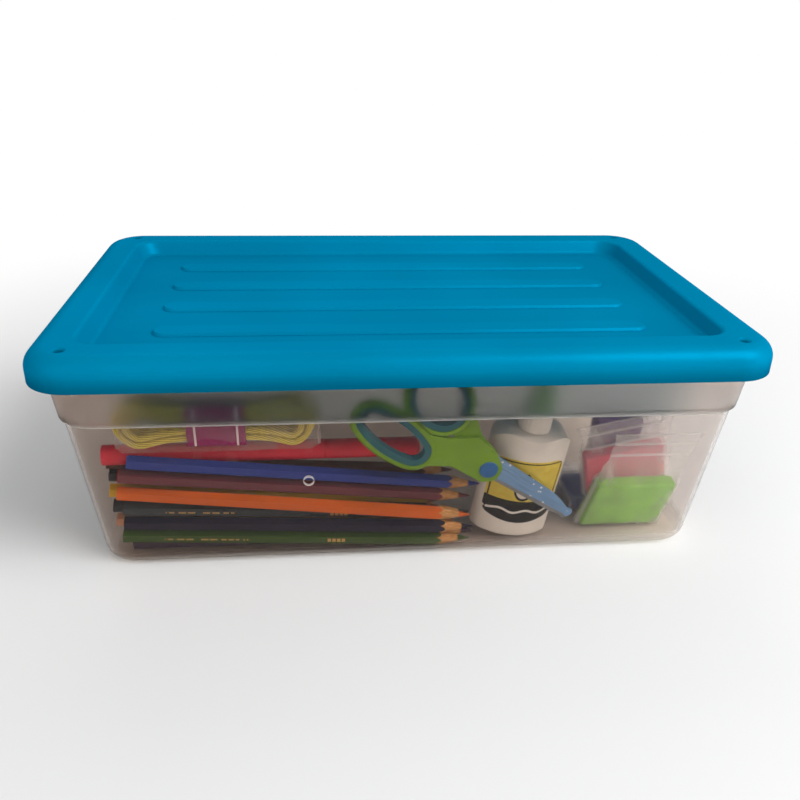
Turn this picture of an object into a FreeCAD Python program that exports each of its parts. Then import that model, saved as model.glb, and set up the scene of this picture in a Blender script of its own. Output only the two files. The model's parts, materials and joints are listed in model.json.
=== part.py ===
import FreeCAD, Part
import math
import os
from FreeCAD import Vector, Placement, Rotation, Matrix

# An art supply box: a frosted storage tub under a blue lid, packed with
# coloured pencils, a marker, child's scissors, a glue bottle, a hank of
# embroidery floss and bagged slabs of modelling clay.
# Frame: X along the box, Y from front to back, Z up, origin at the middle of the base. Millimetres.

# Box
BOX_HEIGHT = 120.0          # floor to the top of the lid's border
LID_CORNER = 22.0
LID_WALL = 1.6
LID_SKIRT = 15.4            # height of the lid's rim
LID_ROUND = 9.0             # outer rounding of the border
LID_INNER_BEVEL = 2.6
LID_BORDER = 24.5           # from the lid's edge to the foot of its sunk panel
RECESS_DEPTH = 8.0
RECESS_CORNER = 13.0
RECESS_SLOPE = 0.5
RECESS_FOOT_ROUND = 3.0
PAN_BEVEL = 3.0             # the same edge, seen from below
RECESS_EDGE_ROUND = 2.5
RIB_END_GAP = 25.0          # from the panel's foot to the ribs
RIB_SIDE_GAP = 29.0         # to the middle of the outer ribs
RIB_WIDTH = 13.0
RIB_HEIGHT = 1.4
RIB_BEVEL = 1.2
RIB_COUNT = 4
DIMPLE_INSET_X = 17.8       # from the lid's edge
DIMPLE_INSET_Y = 12.8
DIMPLE_BALL = 5.0
DIMPLE_DEPTH = 1.1
BASE_LENGTH = 307.0
BASE_DEPTH = 173.0
TUB_CORNER = 18.0
TUB_WALL = 1.6
TUB_FLOOR = 1.8
TUB_DRAFT = 0.105           # lean of the walls, run over rise
BASE_ROUND = 8.0
BASE_BEVEL = 3.0            # the same edge, inside
STEP_HEIGHT = 83.0          # underside of the set-out upper band
STEP_OUT = 1.8
STEP_BEVEL = 0.8
FLANGE_DROP = 6.2           # rim top to flange top
FLANGE_THICK = 1.6
FLANGE_OUT = 3.3            # beyond the rim
LID_SEAT_GAP = 0.3
LID_SIDE_GAP = 0.4

# Fits
REST_GAP = 0.3              # between things that lie on each other
RUNNING_GAP = 0.05          # round a pin that turns
CUT_PAST = 1.0              # how far a cut runs out of what it cuts

# Coloured pencils
PENCIL_LENGTH = 175.0
PENCIL_WIDTH = 7.5          # across the corners of the hexagon
PENCIL_GAP = 0.2
PENCIL_ROW = 7.0            # from one row behind the wall to the next
POINT_SIDES = 12
PENCIL_POINT = 17.0         # length of the sharpened cone
LEAD_WIDTH = 3.2
LEAD_TIP = 0.6
LEAD_SHOWN = 7.6            # bare lead at the point
LEAD_SEAT = 4.0             # lead inside the wood
PENCIL_FAN = 3.5            # degrees that the fanned pencils turn away from the front wall

# Marker
MARKER_WIDTH = 10.0
MARKER_LENGTH = 154.0
MARKER_CAP = 48.0
MARKER_WALL = 1.0
MARKER_NIB = 4.0            # width of the felt tip
MARKER_NIB_OUT = 8.0
MARKER_BEVEL = 1.4
MARKER_NECK = 6.6
MARKER_NECK_LENGTH = 12.0
MARKER_PLUG = 6.0
MARKER_END_GAP = 10.7       # from its butt to the end wall
MARKER_RISE = 7.56          # height of its butt, in pencil pitches above the floor
MARKER_DIP = 1.75

# Scissors
PIVOT_X = 38.9
PIVOT_DROP = 59.1           # from the level of the panel's underside, along the front wall
SCISSORS_TURN = -35.0       # degrees from level to the blades
BLADE_REACH = 56.0
BLADE_THICK = 1.0
BLADE_SPINE = 8.6
BACK_SPINE = 5.2
BLADE_EDGE = 3.4
BLADE_TANG = 12.0
BLADE_NOSE = 4.0            # length of the rounded tip
NOSE_EDGE = 0.8             # where the tip starts, from the middle line, at the edge and at the back
NOSE_BACK = 3.0
BODY_COVER = 1.2            # plastic over each tang
CAP_THICK = 0.75
CAP_WIDTH = 9.4
RIVET_WIDTH = 4.0
RIVET_HEAD = 8.0
RING_THICK = 5.6
RING_BEVEL = 1.2
OVAL_END = 0.7              # end radius of a ring's hole, as a share of its half width
BODY_ROUND = 4.0
RING_WALL = 3.0             # hard plastic outside the soft lining
GRIP_WALL = 3.3
GRIP_SET = 0.5              # lining stands back from the ring's faces
FINGER_HOLE = (37.0, 14.8)  # long and short axis
FINGER_CENTRE = (-51.0, -10.0)
FINGER_TILT = -7.0
THUMB_HOLE = (29.0, 21.4)
THUMB_CENTRE = (-45.0, 17.8)
THUMB_TILT = -30.0

# Glue bottle
GLUE_WIDTH = 42.0
GLUE_DEEP = 25.0
GLUE_END = 8.0              # radius at the narrow sides
GLUE_BODY = 53.0            # up to the start of the shoulder
GLUE_SHOULDER = 10.0
GLUE_SIDE_SHOULDER = 4.5
GLUE_WALL = 1.2
GLUE_FOOT_BEVEL = 1.5
GLUE_NECK = 13.0
GLUE_NECK_HEIGHT = 8.0
GLUE_NECK_WALL = 1.4
COLLAR_WIDTH = 17.0
COLLAR_HEIGHT = 11.0
COLLAR_BEVEL = 1.2
COLLAR_SIDES = 24           # grip flats
NOZZLE_WIDTH = 8.0
NOZZLE_TIP = 4.4
NOZZLE_HEIGHT = 13.0
NOZZLE_BORE = 2.0
GLUE_CAP_WIDTH = 14.6
GLUE_CAP_TIP = 9.0
GLUE_CAP_HEIGHT = 18.5
GLUE_CAP_SIDES = 16         # flats that the fingers hold
GLUE_X = 56.5
GLUE_LEAN = 7.0             # degrees
LABEL_WIDTH = 37.0
LABEL_LOW = 10.0
LABEL_HIGH = 49.0
LABEL_BULGE = 4.0
LABEL_CORNER = 5.0
LABEL_THICK = 0.25

# Floss
HANK_LENGTH = 95.0
HANK_CENTRE_X = -91.5
HANK_STRAND = 3.0
HANK_LAYERS = 4
HANK_RUNS = 5               # runs of one layer, from the outermost to the innermost
HANK_STEP = 3.8             # between neighbouring loops of a layer
HANK_LAYER_STEP = 3.7
HANK_INNER = 5.0            # half height of the innermost run at the lobes
HANK_DRAW = 4.0             # how far the waist is drawn in
BAND_LENGTH = 27.0
BAND_PAPER = 0.4
BAND_CORNER = 0.8
FLOSS_BAG_WALL = 0.4
FLOSS_BAG_ROUND = 1.6

# Modelling clay in zip bags
CLAY_LENGTH = 43.0
CLAY_HEIGHT = 26.5
CLAY_THICK = 9.0
CLAY_BEVEL = 1.6
BAG_FILM = 0.5
BAG_SLACK = 0.4             # air between a slab and its bag
BAG_FLAP = 1.2              # thickness of the empty top of a bag
BAG_SEAM = 3.0              # flat seam beside the slab
ZIP_RIDGE = 0.7
ZIP_WIDTH = 1.6
ZIP_SPACING = 7.0
GREEN_LEAN = 7.0            # sideways lean of the pushed slab over its height
GREEN_FLAP = 30.0
FLAT_FLAP = 18.0
PINK_TILT = 12.0
CLAY_END_GAP = 0.4          # from the first bag's top corner to the end wall
GREEN_DEPTH = 14.0          # front of the first bag, from the front wall

# Sizes that follow from those above
LID_UNDER = BOX_HEIGHT - LID_WALL
RIM_TOP = LID_UNDER - LID_SEAT_GAP
PANEL_TOP = BOX_HEIGHT - RECESS_DEPTH
PANEL_UNDER = PANEL_TOP - LID_WALL
LID_REACH = LID_WALL + LID_SIDE_GAP
LID_OVERHANG = TUB_DRAFT * RIM_TOP + STEP_OUT + FLANGE_OUT + LID_REACH
LID_LENGTH = BASE_LENGTH + 2 * LID_OVERHANG
LID_DEPTH = BASE_DEPTH + 2 * LID_OVERHANG
RECESS_LENGTH = LID_LENGTH - 2 * LID_BORDER
RECESS_WIDTH = LID_DEPTH - 2 * LID_BORDER
RIB_LENGTH = RECESS_LENGTH - 2 * RIB_END_GAP
RIB_PITCH = (RECESS_WIDTH - 2 * RIB_SIDE_GAP) / (RIB_COUNT - 1)
PITCH = PENCIL_WIDTH + PENCIL_GAP
PENCIL_RADIUS = PENCIL_WIDTH / 2
WALL_LEAN = math.atan(TUB_DRAFT)
PENCIL_FLAT = PENCIL_RADIUS * math.cos(math.pi / 6)
FIRST_ROW = PENCIL_RADIUS + REST_GAP

os.makedirs("parts", exist_ok=True)


def save(name, shape):
    """Write one piece and print its size, so that a bad solid shows at once."""
    if not shape.isValid():
        print("not valid:", name)
    shape.exportStep("parts/" + name + ".step")
    print(name, len(shape.Solids), round(shape.Volume, 1))


def polygon_face(points):
    """Flat face inside a closed run of points in the XY plane."""
    corners = [Vector(x, y, 0) for x, y in points]
    return Part.Face(Part.makePolygon(corners + corners[:1]))


def rounded_block(length, depth, low, high, corner):
    """Upright block, centred on the Z axis, with rounded upright edges."""
    block = Part.makeBox(length, depth, high - low, Vector(-length / 2, -depth / 2, low))
    upright = [e for e in block.Edges if abs(e.tangentAt(e.FirstParameter).z) > 0.9]
    return block.makeFillet(corner, upright)


def drafted_block(length, depth, low, high, slope, corner):
    """Block whose walls lean out by slope; length and depth are those of its foot."""
    a, b = length / 2, depth / 2
    grow = slope * (high - low)
    block = Part.makeWedge(-a, low, -b, -b - grow, -a - grow, a, high, b, b + grow, a + grow)
    block.rotate(Vector(0, 0, 0), Vector(1, 0, 0), 90)
    upright = [e for e in block.Edges if e.BoundBox.ZLength > 0.9 * (high - low)]
    return block.makeFillet(corner, upright)


def frustum(sides, low_radius, high_radius, low, high):
    """Pyramid stump along Z with flat sides."""
    def ring(radius, height):
        turns = [2 * math.pi * k / sides for k in range(sides + 1)]
        return [Vector(radius * math.cos(t), radius * math.sin(t), height) for t in turns]
    foot, top = ring(low_radius, low), ring(high_radius, high)
    faces = [Part.Face(Part.makePolygon(foot)), Part.Face(Part.makePolygon(top))]
    for k in range(sides):
        faces.append(Part.Face(Part.makePolygon([foot[k], foot[k + 1], top[k + 1], top[k], foot[k]])))
    return Part.Solid(Part.Shell(faces))


def oval_face(length, width, end):
    """Flat oval of four arcs that run into each other, with its long axis along X."""
    a, b = length / 2, width / 2
    side = (a * a + b * b - 2 * a * end) / (2 * (b - end))
    reach = end / (side - end)
    x, y = (a - end) * (1 + reach), (side - b) * reach
    joints = [Vector(x, y, 0), Vector(-x, y, 0), Vector(-x, -y, 0), Vector(x, -y, 0)]
    tops = [Vector(0, b, 0), Vector(-a, 0, 0), Vector(0, -b, 0), Vector(a, 0, 0)]
    arcs = [Part.Arc(joints[i], tops[i], joints[(i + 1) % 4]).toShape() for i in range(4)]
    return Part.Face(Part.Wire(arcs))


def edges_at(shape, height):
    """All edges that lie level at one height."""
    near = 1e-4
    return [e for e in shape.Edges
            if abs(e.BoundBox.ZMin - height) < near and abs(e.BoundBox.ZMax - height) < near]


def wall_outer(height):
    """Half depth of the tub's lower wall, outside, at a height."""
    return BASE_DEPTH / 2 + TUB_DRAFT * height


def end_inner(height):
    """Half length of the tub, inside, at a height."""
    return BASE_LENGTH / 2 + TUB_DRAFT * height - TUB_WALL


def by_wall(x, depth, height):
    """Point that lies depth behind the inner face of the front wall."""
    return Vector(x, depth + TUB_WALL - wall_outer(height), height)


def wall_placement():
    """Local X along the box, local Y up the inner face of the front wall, local Z out to the front."""
    rise = Vector(0, -TUB_DRAFT, 1).normalize()
    along = Vector(1, 0, 0)
    out = along.cross(rise)
    foot = by_wall(0, 0, 0)
    return Placement(Matrix(along.x, rise.x, out.x, foot.x,
                            along.y, rise.y, out.y, foot.y,
                            along.z, rise.z, out.z, foot.z,
                            0, 0, 0, 1))


ON_WALL = wall_placement()


def up_wall(height, depth):
    """How far up the wall's face a point lies that is at a height, depth behind the face."""
    return (height - depth * math.sin(WALL_LEAN)) / math.cos(WALL_LEAN)


def lean_on_wall(x, depth, up, turn):
    """Placement against the front wall, turned in the plane of the wall."""
    return ON_WALL * Placement(Vector(x, up, -depth), Rotation(Vector(0, 0, 1), turn))


def placed(shape, placement):
    moved = shape.copy()
    moved.Placement = placement * moved.Placement
    return moved


# Tub

def make_tub():
    band_length = BASE_LENGTH + 2 * (TUB_DRAFT * STEP_HEIGHT + STEP_OUT)
    band_depth = BASE_DEPTH + 2 * (TUB_DRAFT * STEP_HEIGHT + STEP_OUT)
    lower = drafted_block(BASE_LENGTH, BASE_DEPTH, 0, STEP_HEIGHT, TUB_DRAFT, TUB_CORNER)
    lower = lower.makeFillet(BASE_ROUND, edges_at(lower, 0))
    band = drafted_block(band_length, band_depth, STEP_HEIGHT, RIM_TOP, TUB_DRAFT, TUB_CORNER + STEP_OUT)
    band = band.makeChamfer(STEP_BEVEL, edges_at(band, STEP_HEIGHT))
    flange_top = RIM_TOP - FLANGE_DROP
    flange = rounded_block(LID_LENGTH - 2 * LID_REACH, LID_DEPTH - 2 * LID_REACH,
                           flange_top - FLANGE_THICK, flange_top, LID_CORNER - LID_REACH)

    inset = TUB_WALL - TUB_DRAFT * TUB_FLOOR
    ledge = STEP_HEIGHT + TUB_WALL
    hollow = drafted_block(BASE_LENGTH - 2 * inset, BASE_DEPTH - 2 * inset, TUB_FLOOR, ledge,
                           TUB_DRAFT, TUB_CORNER - TUB_WALL)
    hollow = hollow.makeChamfer(BASE_BEVEL, edges_at(hollow, TUB_FLOOR))
    inset = TUB_WALL - TUB_DRAFT * TUB_WALL
    mouth = drafted_block(band_length - 2 * inset, band_depth - 2 * inset, ledge, RIM_TOP + TUB_WALL,
                          TUB_DRAFT, TUB_CORNER + STEP_OUT - TUB_WALL)
    return lower.fuse(band).fuse(flange).cut(hollow.fuse(mouth)).removeSplitter()


# Lid

def make_rib(length, width, low, high, bevel):
    """Long pill that stands out of the panel, with its top edge broken."""
    x, y = (length - width) / 2, width / 2
    edges = [Part.makeLine(Vector(-x, -y, low), Vector(x, -y, low)),
             Part.Arc(Vector(x, -y, low), Vector(x + y, 0, low), Vector(x, y, low)).toShape(),
             Part.makeLine(Vector(x, y, low), Vector(-x, y, low)),
             Part.Arc(Vector(-x, y, low), Vector(-x - y, 0, low), Vector(-x, -y, low)).toShape()]
    rib = Part.Face(Part.Wire(edges)).extrude(Vector(0, 0, high - low))
    return rib.makeChamfer(bevel, edges_at(rib, high)) if bevel else rib


def make_lid():
    skirt_foot = BOX_HEIGHT - LID_SKIRT
    outer = rounded_block(LID_LENGTH, LID_DEPTH, skirt_foot, BOX_HEIGHT, LID_CORNER)
    outer = outer.makeFillet(LID_ROUND, edges_at(outer, BOX_HEIGHT))
    recess = drafted_block(RECESS_LENGTH, RECESS_WIDTH, PANEL_TOP, BOX_HEIGHT, RECESS_SLOPE, RECESS_CORNER)
    recess = recess.makeFillet(RECESS_FOOT_ROUND, edges_at(recess, PANEL_TOP))
    shell = outer.cut(recess)
    rim = [e for e in edges_at(shell, BOX_HEIGHT) if e.BoundBox.XMax < LID_LENGTH / 2 - LID_ROUND - 1e-3
           and e.BoundBox.YMax < LID_DEPTH / 2 - LID_ROUND - 1e-3
           and e.BoundBox.XMin > LID_ROUND + 1e-3 - LID_LENGTH / 2
           and e.BoundBox.YMin > LID_ROUND + 1e-3 - LID_DEPTH / 2]
    shell = shell.makeFillet(RECESS_EDGE_ROUND, rim)

    under = rounded_block(LID_LENGTH - 2 * LID_WALL, LID_DEPTH - 2 * LID_WALL,
                          skirt_foot - LID_WALL, LID_UNDER, LID_CORNER - LID_WALL)
    under = under.makeChamfer(LID_INNER_BEVEL, edges_at(under, LID_UNDER))
    pan = drafted_block(RECESS_LENGTH + 2 * LID_WALL, RECESS_WIDTH + 2 * LID_WALL, PANEL_UNDER,
                        BOX_HEIGHT, RECESS_SLOPE, RECESS_CORNER + LID_WALL)
    pan = pan.makeChamfer(PAN_BEVEL, edges_at(pan, PANEL_UNDER))
    lid = shell.cut(under.cut(pan))

    for i in range(RIB_COUNT):
        y = (i - (RIB_COUNT - 1) / 2) * RIB_PITCH
        rib = make_rib(RIB_LENGTH, RIB_WIDTH, PANEL_TOP - LID_WALL / 2, PANEL_TOP + RIB_HEIGHT, RIB_BEVEL)
        groove = make_rib(RIB_LENGTH - 2 * LID_WALL, RIB_WIDTH - 2 * LID_WALL, PANEL_TOP - 2 * LID_WALL,
                          PANEL_TOP + RIB_HEIGHT - LID_WALL, 0)
        rib.translate(Vector(0, y, 0))
        groove.translate(Vector(0, y, 0))
        lid = lid.fuse(rib).cut(groove)
    for sx in (-1, 1):
        for sy in (-1, 1):
            centre = Vector(sx * (LID_LENGTH / 2 - DIMPLE_INSET_X), sy * (LID_DEPTH / 2 - DIMPLE_INSET_Y),
                            BOX_HEIGHT + DIMPLE_BALL - DIMPLE_DEPTH)
            lid = lid.cut(Part.makeSphere(DIMPLE_BALL, centre))
    return lid.removeSplitter()


# Pencils: colour, butt along X, height of the butt in pencil pitches above the floor,
# dip in degrees, row behind the wall, and whether it fans away from the wall
PENCILS = [
    ("blue", -134.5, 7.64, 8.6, 0, True),
    ("mauve", -139.0, 6.60, 8.5, 0, True),
    ("orange", -141.0, 5.30, 6.9, 0, False),
    ("grey", -139.5, 4.05, 5.5, 0, True),
    ("navy", -140.0, 2.92, 3.4, 0, False),
    ("olive", -141.5, 1.88, 3.3, 0, False),
    ("purple", -139.0, 0.56, 0.0, 1, False),
    ("red", -141.5, 6.02, 6.3, 1, True),
    ("yellow", -146.5, 4.94, 6.1, 1, True),
    ("charcoal", -146.0, 3.72, 5.6, 1, True),
    ("peach", -145.5, 2.57, 5.2, 1, True),
    ("black", -147.5, 5.60, 6.1, 2, True),
    ("brown", -147.5, 6.60, 5.8, 2, True),
    ("green", -143.5, 0.86, 0.7, 2, True),
]


def stick_placement(butt, dip, fan):
    """Local Z runs along a stick from its butt: it dips to the right and fans to the back."""
    dip, fan = math.radians(dip), math.radians(fan)
    along = Vector(math.cos(dip) * math.cos(fan), math.cos(dip) * math.sin(fan), -math.sin(dip))
    return Placement(butt, Rotation(Vector(0, 0, 1), along))


def make_pencil():
    """Sharpened hexagonal casing and the lead in its point, along Z with the butt at the origin."""
    barrel = frustum(6, PENCIL_RADIUS, PENCIL_RADIUS, 0, PENCIL_LENGTH)
    spread = (PENCIL_RADIUS - LEAD_TIP / 2) / PENCIL_POINT
    point = frustum(POINT_SIDES, LEAD_TIP / 2 + spread * PENCIL_LENGTH, LEAD_TIP / 2, 0, PENCIL_LENGTH)
    lead_foot = PENCIL_LENGTH - LEAD_SHOWN - LEAD_SEAT
    rod = frustum(POINT_SIDES, LEAD_WIDTH / 2, LEAD_WIDTH / 2, lead_foot, PENCIL_LENGTH)
    return barrel.common(point).cut(rod), rod.common(point)


def pencil_place(row):
    name, butt_x, rise, dip, row_index, fanned = row
    depth = FIRST_ROW + row_index * PENCIL_ROW
    butt = by_wall(butt_x, depth, TUB_FLOOR + rise * PITCH)
    fan = PENCIL_FAN if fanned else 0
    lean = math.degrees(math.atan(TUB_DRAFT * math.tan(math.radians(dip))))
    return stick_placement(butt, dip, fan + lean)


def make_pencils():
    casing, lead = make_pencil()
    for row in PENCILS:
        place = pencil_place(row)
        save("pencil_casing_" + row[0], placed(casing, place))
        save("pencil_lead_" + row[0], placed(lead, place))


# Marker

def make_marker():
    """Round felt pen, along Z from its butt, with its cap on."""
    r = MARKER_WIDTH / 2
    joint = MARKER_LENGTH - MARKER_CAP
    neck_end = joint + MARKER_NECK_LENGTH
    barrel = Part.makeCylinder(r, joint)
    barrel = barrel.fuse(Part.makeCylinder(MARKER_NECK / 2, MARKER_NECK_LENGTH, Vector(0, 0, joint)))
    bore = Part.makeCylinder(r - MARKER_WALL, joint - MARKER_WALL)
    nib_r = MARKER_NIB / 2
    nib_bore = Part.makeCylinder(nib_r, MARKER_NECK_LENGTH + MARKER_WALL, Vector(0, 0, joint - MARKER_WALL))
    barrel = barrel.cut(bore).cut(nib_bore)
    plug = Part.makeCylinder(r - MARKER_WALL, MARKER_PLUG)
    core_length = joint - MARKER_WALL - MARKER_PLUG
    core = Part.makeCylinder(r - MARKER_WALL - REST_GAP, core_length, Vector(0, 0, MARKER_PLUG))
    nib = nib_bore.fuse(frustum(POINT_SIDES, nib_r, nib_r / 3, neck_end, neck_end + MARKER_NIB_OUT))
    cap = Part.makeCylinder(r, MARKER_CAP - REST_GAP, Vector(0, 0, joint + REST_GAP))
    cap = cap.makeChamfer(MARKER_BEVEL, edges_at(cap, MARKER_LENGTH))
    cavity_length = MARKER_CAP - 4 * MARKER_WALL
    cavity = Part.makeCylinder(MARKER_NECK / 2 + RUNNING_GAP, cavity_length, Vector(0, 0, joint))
    return {"barrel": barrel, "cap": cap.cut(cavity), "nib": nib, "plug": plug, "core": core}


def marker_place():
    depth = FIRST_ROW + PENCIL_FLAT + MARKER_WIDTH / 2 + PENCIL_GAP
    height = TUB_FLOOR + MARKER_RISE * PITCH
    butt = by_wall(MARKER_END_GAP - end_inner(height), depth, height)
    return stick_placement(butt, MARKER_DIP, PENCIL_FAN)


# Scissors, drawn with the pivot at the origin, the blades along +X and the front towards +Z

def oval(centre, axes, tilt, low, high, grow=0.0):
    """Upright oval block; axes are the full lengths of a hole, which grow widens all round."""
    end = OVAL_END * axes[1] / 2 + grow
    block = oval_face(axes[0] + 2 * grow, axes[1] + 2 * grow, end).extrude(Vector(0, 0, high - low))
    block.Placement = Placement(Vector(centre[0], centre[1], low), Rotation(Vector(0, 0, 1), tilt))
    return block


def slab(face, low, high):
    block = face.extrude(Vector(0, 0, high - low))
    block.translate(Vector(0, 0, low))
    return block


def blade_face(spine, side):
    """Blade with a straight cutting edge, a bellied back and a blunt tip."""
    s = side
    tip = BLADE_REACH
    middle = spine * 0.79
    edge_start = Vector(-BLADE_TANG, -s * BLADE_EDGE, 0)
    edge_end = Vector(tip - BLADE_NOSE, -s * NOSE_EDGE, 0)
    back_start = Vector(tip - BLADE_NOSE, s * NOSE_BACK, 0)
    back_mid = Vector(tip * 0.62, s * middle, 0)
    back_end = Vector(-BLADE_TANG, s * spine, 0)
    nose = Part.Arc(edge_end, Vector(tip, s * NOSE_EDGE, 0), back_start)
    belly = Part.Arc(back_start, Vector(tip * 0.8, s * (middle + NOSE_BACK) * 0.54, 0), back_mid)
    edges = [Part.LineSegment(edge_start, edge_end), nose, belly, Part.LineSegment(back_mid, back_end),
             Part.LineSegment(back_end, edge_start)]
    return Part.Face(Part.Wire([e.toShape() for e in edges]))


# Flat bodies that join a ring to the pivot
FRONT_BODY = [(-40, -12), (-29, -16), (-17, -8.6), (2, -8), (7.6, -3), (5.6, 4.4), (-1, 8.8), (-16, 12),
              (-27, 4), (-38, 0)]
BACK_BODY = [(-40, 30), (-24, 20), (-14, 12.6), (-1, 8.8), (5.6, 4.4), (7.2, -3), (2, -8), (-11, -8),
             (-19, -2.5), (-26, 5.5), (-38, 10)]


def body_block(points, low, high, grow=0.0):
    """Flat plate with rounded corners, except where it runs into its ring."""
    face = polygon_face(points)
    plate = slab(face.makeOffset2D(grow, 2) if grow else face, low, high)
    hub = RIVET_HEAD * 2.5
    corners = [e for e in plate.Edges if e.BoundBox.ZLength > (high - low) / 2
               and math.hypot(e.CenterOfMass.x, e.CenterOfMass.y) < hub]
    return plate.makeFillet(BODY_ROUND, corners)


def make_scissors():
    near, far = RUNNING_GAP / 2, -RUNNING_GAP / 2
    front_face = near + BLADE_THICK + BODY_COVER
    back_face = far - BLADE_THICK - BODY_COVER
    ring_low, ring_high = -RING_THICK / 2, RING_THICK / 2

    def ring(centre, hole, tilt):
        outer = oval(centre, hole, tilt, ring_low, ring_high, GRIP_WALL + RING_WALL)
        return outer.makeChamfer(RING_BEVEL, edges_at(outer, ring_low) + edges_at(outer, ring_high))

    def seat(centre, hole, tilt):
        return oval(centre, hole, tilt, ring_low - CUT_PAST, ring_high + CUT_PAST, GRIP_WALL)

    def grip(centre, hole, tilt):
        low, high = ring_low + GRIP_SET, ring_high - GRIP_SET
        lining = oval(centre, hole, tilt, low, high, GRIP_WALL)
        return lining.cut(oval(centre, hole, tilt, low - CUT_PAST, high + CUT_PAST))

    finger = (FINGER_CENTRE, FINGER_HOLE, FINGER_TILT)
    thumb = (THUMB_CENTRE, THUMB_HOLE, THUMB_TILT)
    front_blade = slab(blade_face(BLADE_SPINE, 1), near, near + BLADE_THICK)
    back_blade = slab(blade_face(BACK_SPINE, -1), far - BLADE_THICK, far)

    ring_room = GRIP_WALL + RING_WALL + REST_GAP
    finger_clear = oval(*finger, ring_low - CUT_PAST, ring_high + CUT_PAST, ring_room)
    front_body = body_block(FRONT_BODY, near, front_face)
    front_handle = ring(*finger).fuse(front_body).cut(seat(*finger)).cut(front_blade)

    front_clear = body_block(FRONT_BODY, far, ring_high + CUT_PAST, REST_GAP)
    back_body = body_block(BACK_BODY, back_face, far)
    thumb_ring = ring(*thumb).cut(front_clear)
    back_handle = thumb_ring.fuse(back_body).cut(seat(*thumb)).cut(finger_clear).cut(back_blade)

    def pin(radius, low, high):
        return Part.makeCylinder(radius, high - low, Vector(0, 0, low))

    cap_low = front_face + RUNNING_GAP
    cap = pin(CAP_WIDTH / 2, cap_low, cap_low + CAP_THICK)
    cap = cap.makeChamfer(CAP_THICK * 0.6, edges_at(cap, cap_low + CAP_THICK))
    rivet = cap.fuse(pin(RIVET_WIDTH / 2, back_face, cap_low))
    rivet = rivet.fuse(pin(RIVET_HEAD / 2, back_face - CAP_THICK, back_face)).removeSplitter()
    low, high = back_face - CUT_PAST, front_face + CUT_PAST
    turning = pin(RIVET_WIDTH / 2 + RUNNING_GAP, low, high)
    fixed = pin(RIVET_WIDTH / 2, low, high)
    return {
        "front_blade": front_blade.cut(turning),
        "front_handle": front_handle.cut(turning),
        "front_grip": grip(*finger),
        "back_blade": back_blade.cut(fixed),
        "back_handle": back_handle.cut(fixed),
        "back_grip": grip(*thumb),
        "rivet": rivet,
    }


# Middle of the scissors lies this far behind the wall, so that the ring and the rivet's cap clear it
SCISSORS_DEPTH = REST_GAP + max(RING_THICK / 2, BLADE_THICK + BODY_COVER + CAP_THICK + 2 * RUNNING_GAP)


def scissors_place():
    return lean_on_wall(PIVOT_X, SCISSORS_DEPTH, up_wall(PANEL_UNDER, 0) - PIVOT_DROP, SCISSORS_TURN)


# Glue bottle, upright with its foot at the origin

def glue_prism(inset, low, high):
    """Upright oval block with the bottle's section, set in by inset."""
    face = oval_face(GLUE_WIDTH - 2 * inset, GLUE_DEEP - 2 * inset, GLUE_END - inset)
    face.translate(Vector(0, 0, low))
    return face.extrude(Vector(0, 0, high - low))


def glue_form(inset, foot):
    """Bottle set in by inset: an oval prism with its shoulders rounded off at the ends and at the faces."""
    top = GLUE_BODY + GLUE_SHOULDER - inset
    w, d = GLUE_WIDTH / 2 - inset, GLUE_DEEP / 2 - inset

    def arch(round_by, along):
        a, b = w + GLUE_WALL / 2, d + GLUE_WALL / 2
        block = Part.makeBox(2 * a, 2 * b, top - foot, Vector(-a, -b, foot))
        return block.makeFillet(round_by, [e for e in edges_at(block, top) if along(e.BoundBox)])

    body = glue_prism(inset, foot, top).common(arch(GLUE_SHOULDER - inset, lambda box: box.YLength > d))
    return body.common(arch(GLUE_SIDE_SHOULDER - inset, lambda box: box.XLength > d))


def make_label():
    """Wrap on the front of the bottle, with a bulging lower edge."""
    half = LABEL_WIDTH / 2
    corner = LABEL_LOW + LABEL_BULGE
    left, right = Vector(-half, 0, corner), Vector(half, 0, corner)
    edges = [Part.Arc(left, Vector(0, 0, LABEL_LOW), right).toShape(),
             Part.makeLine(right, Vector(half, 0, LABEL_HIGH)),
             Part.makeLine(Vector(half, 0, LABEL_HIGH), Vector(-half, 0, LABEL_HIGH)),
             Part.makeLine(Vector(-half, 0, LABEL_HIGH), left)]
    window = Part.Face(Part.Wire(edges)).extrude(Vector(0, -GLUE_DEEP, 0))
    window = window.makeFillet(LABEL_CORNER, [e for e in window.Edges if e.BoundBox.YLength > GLUE_DEEP / 2])
    return glue_prism(-LABEL_THICK, 0, GLUE_BODY).cut(glue_prism(0, 0, GLUE_BODY)).common(window)


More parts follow.
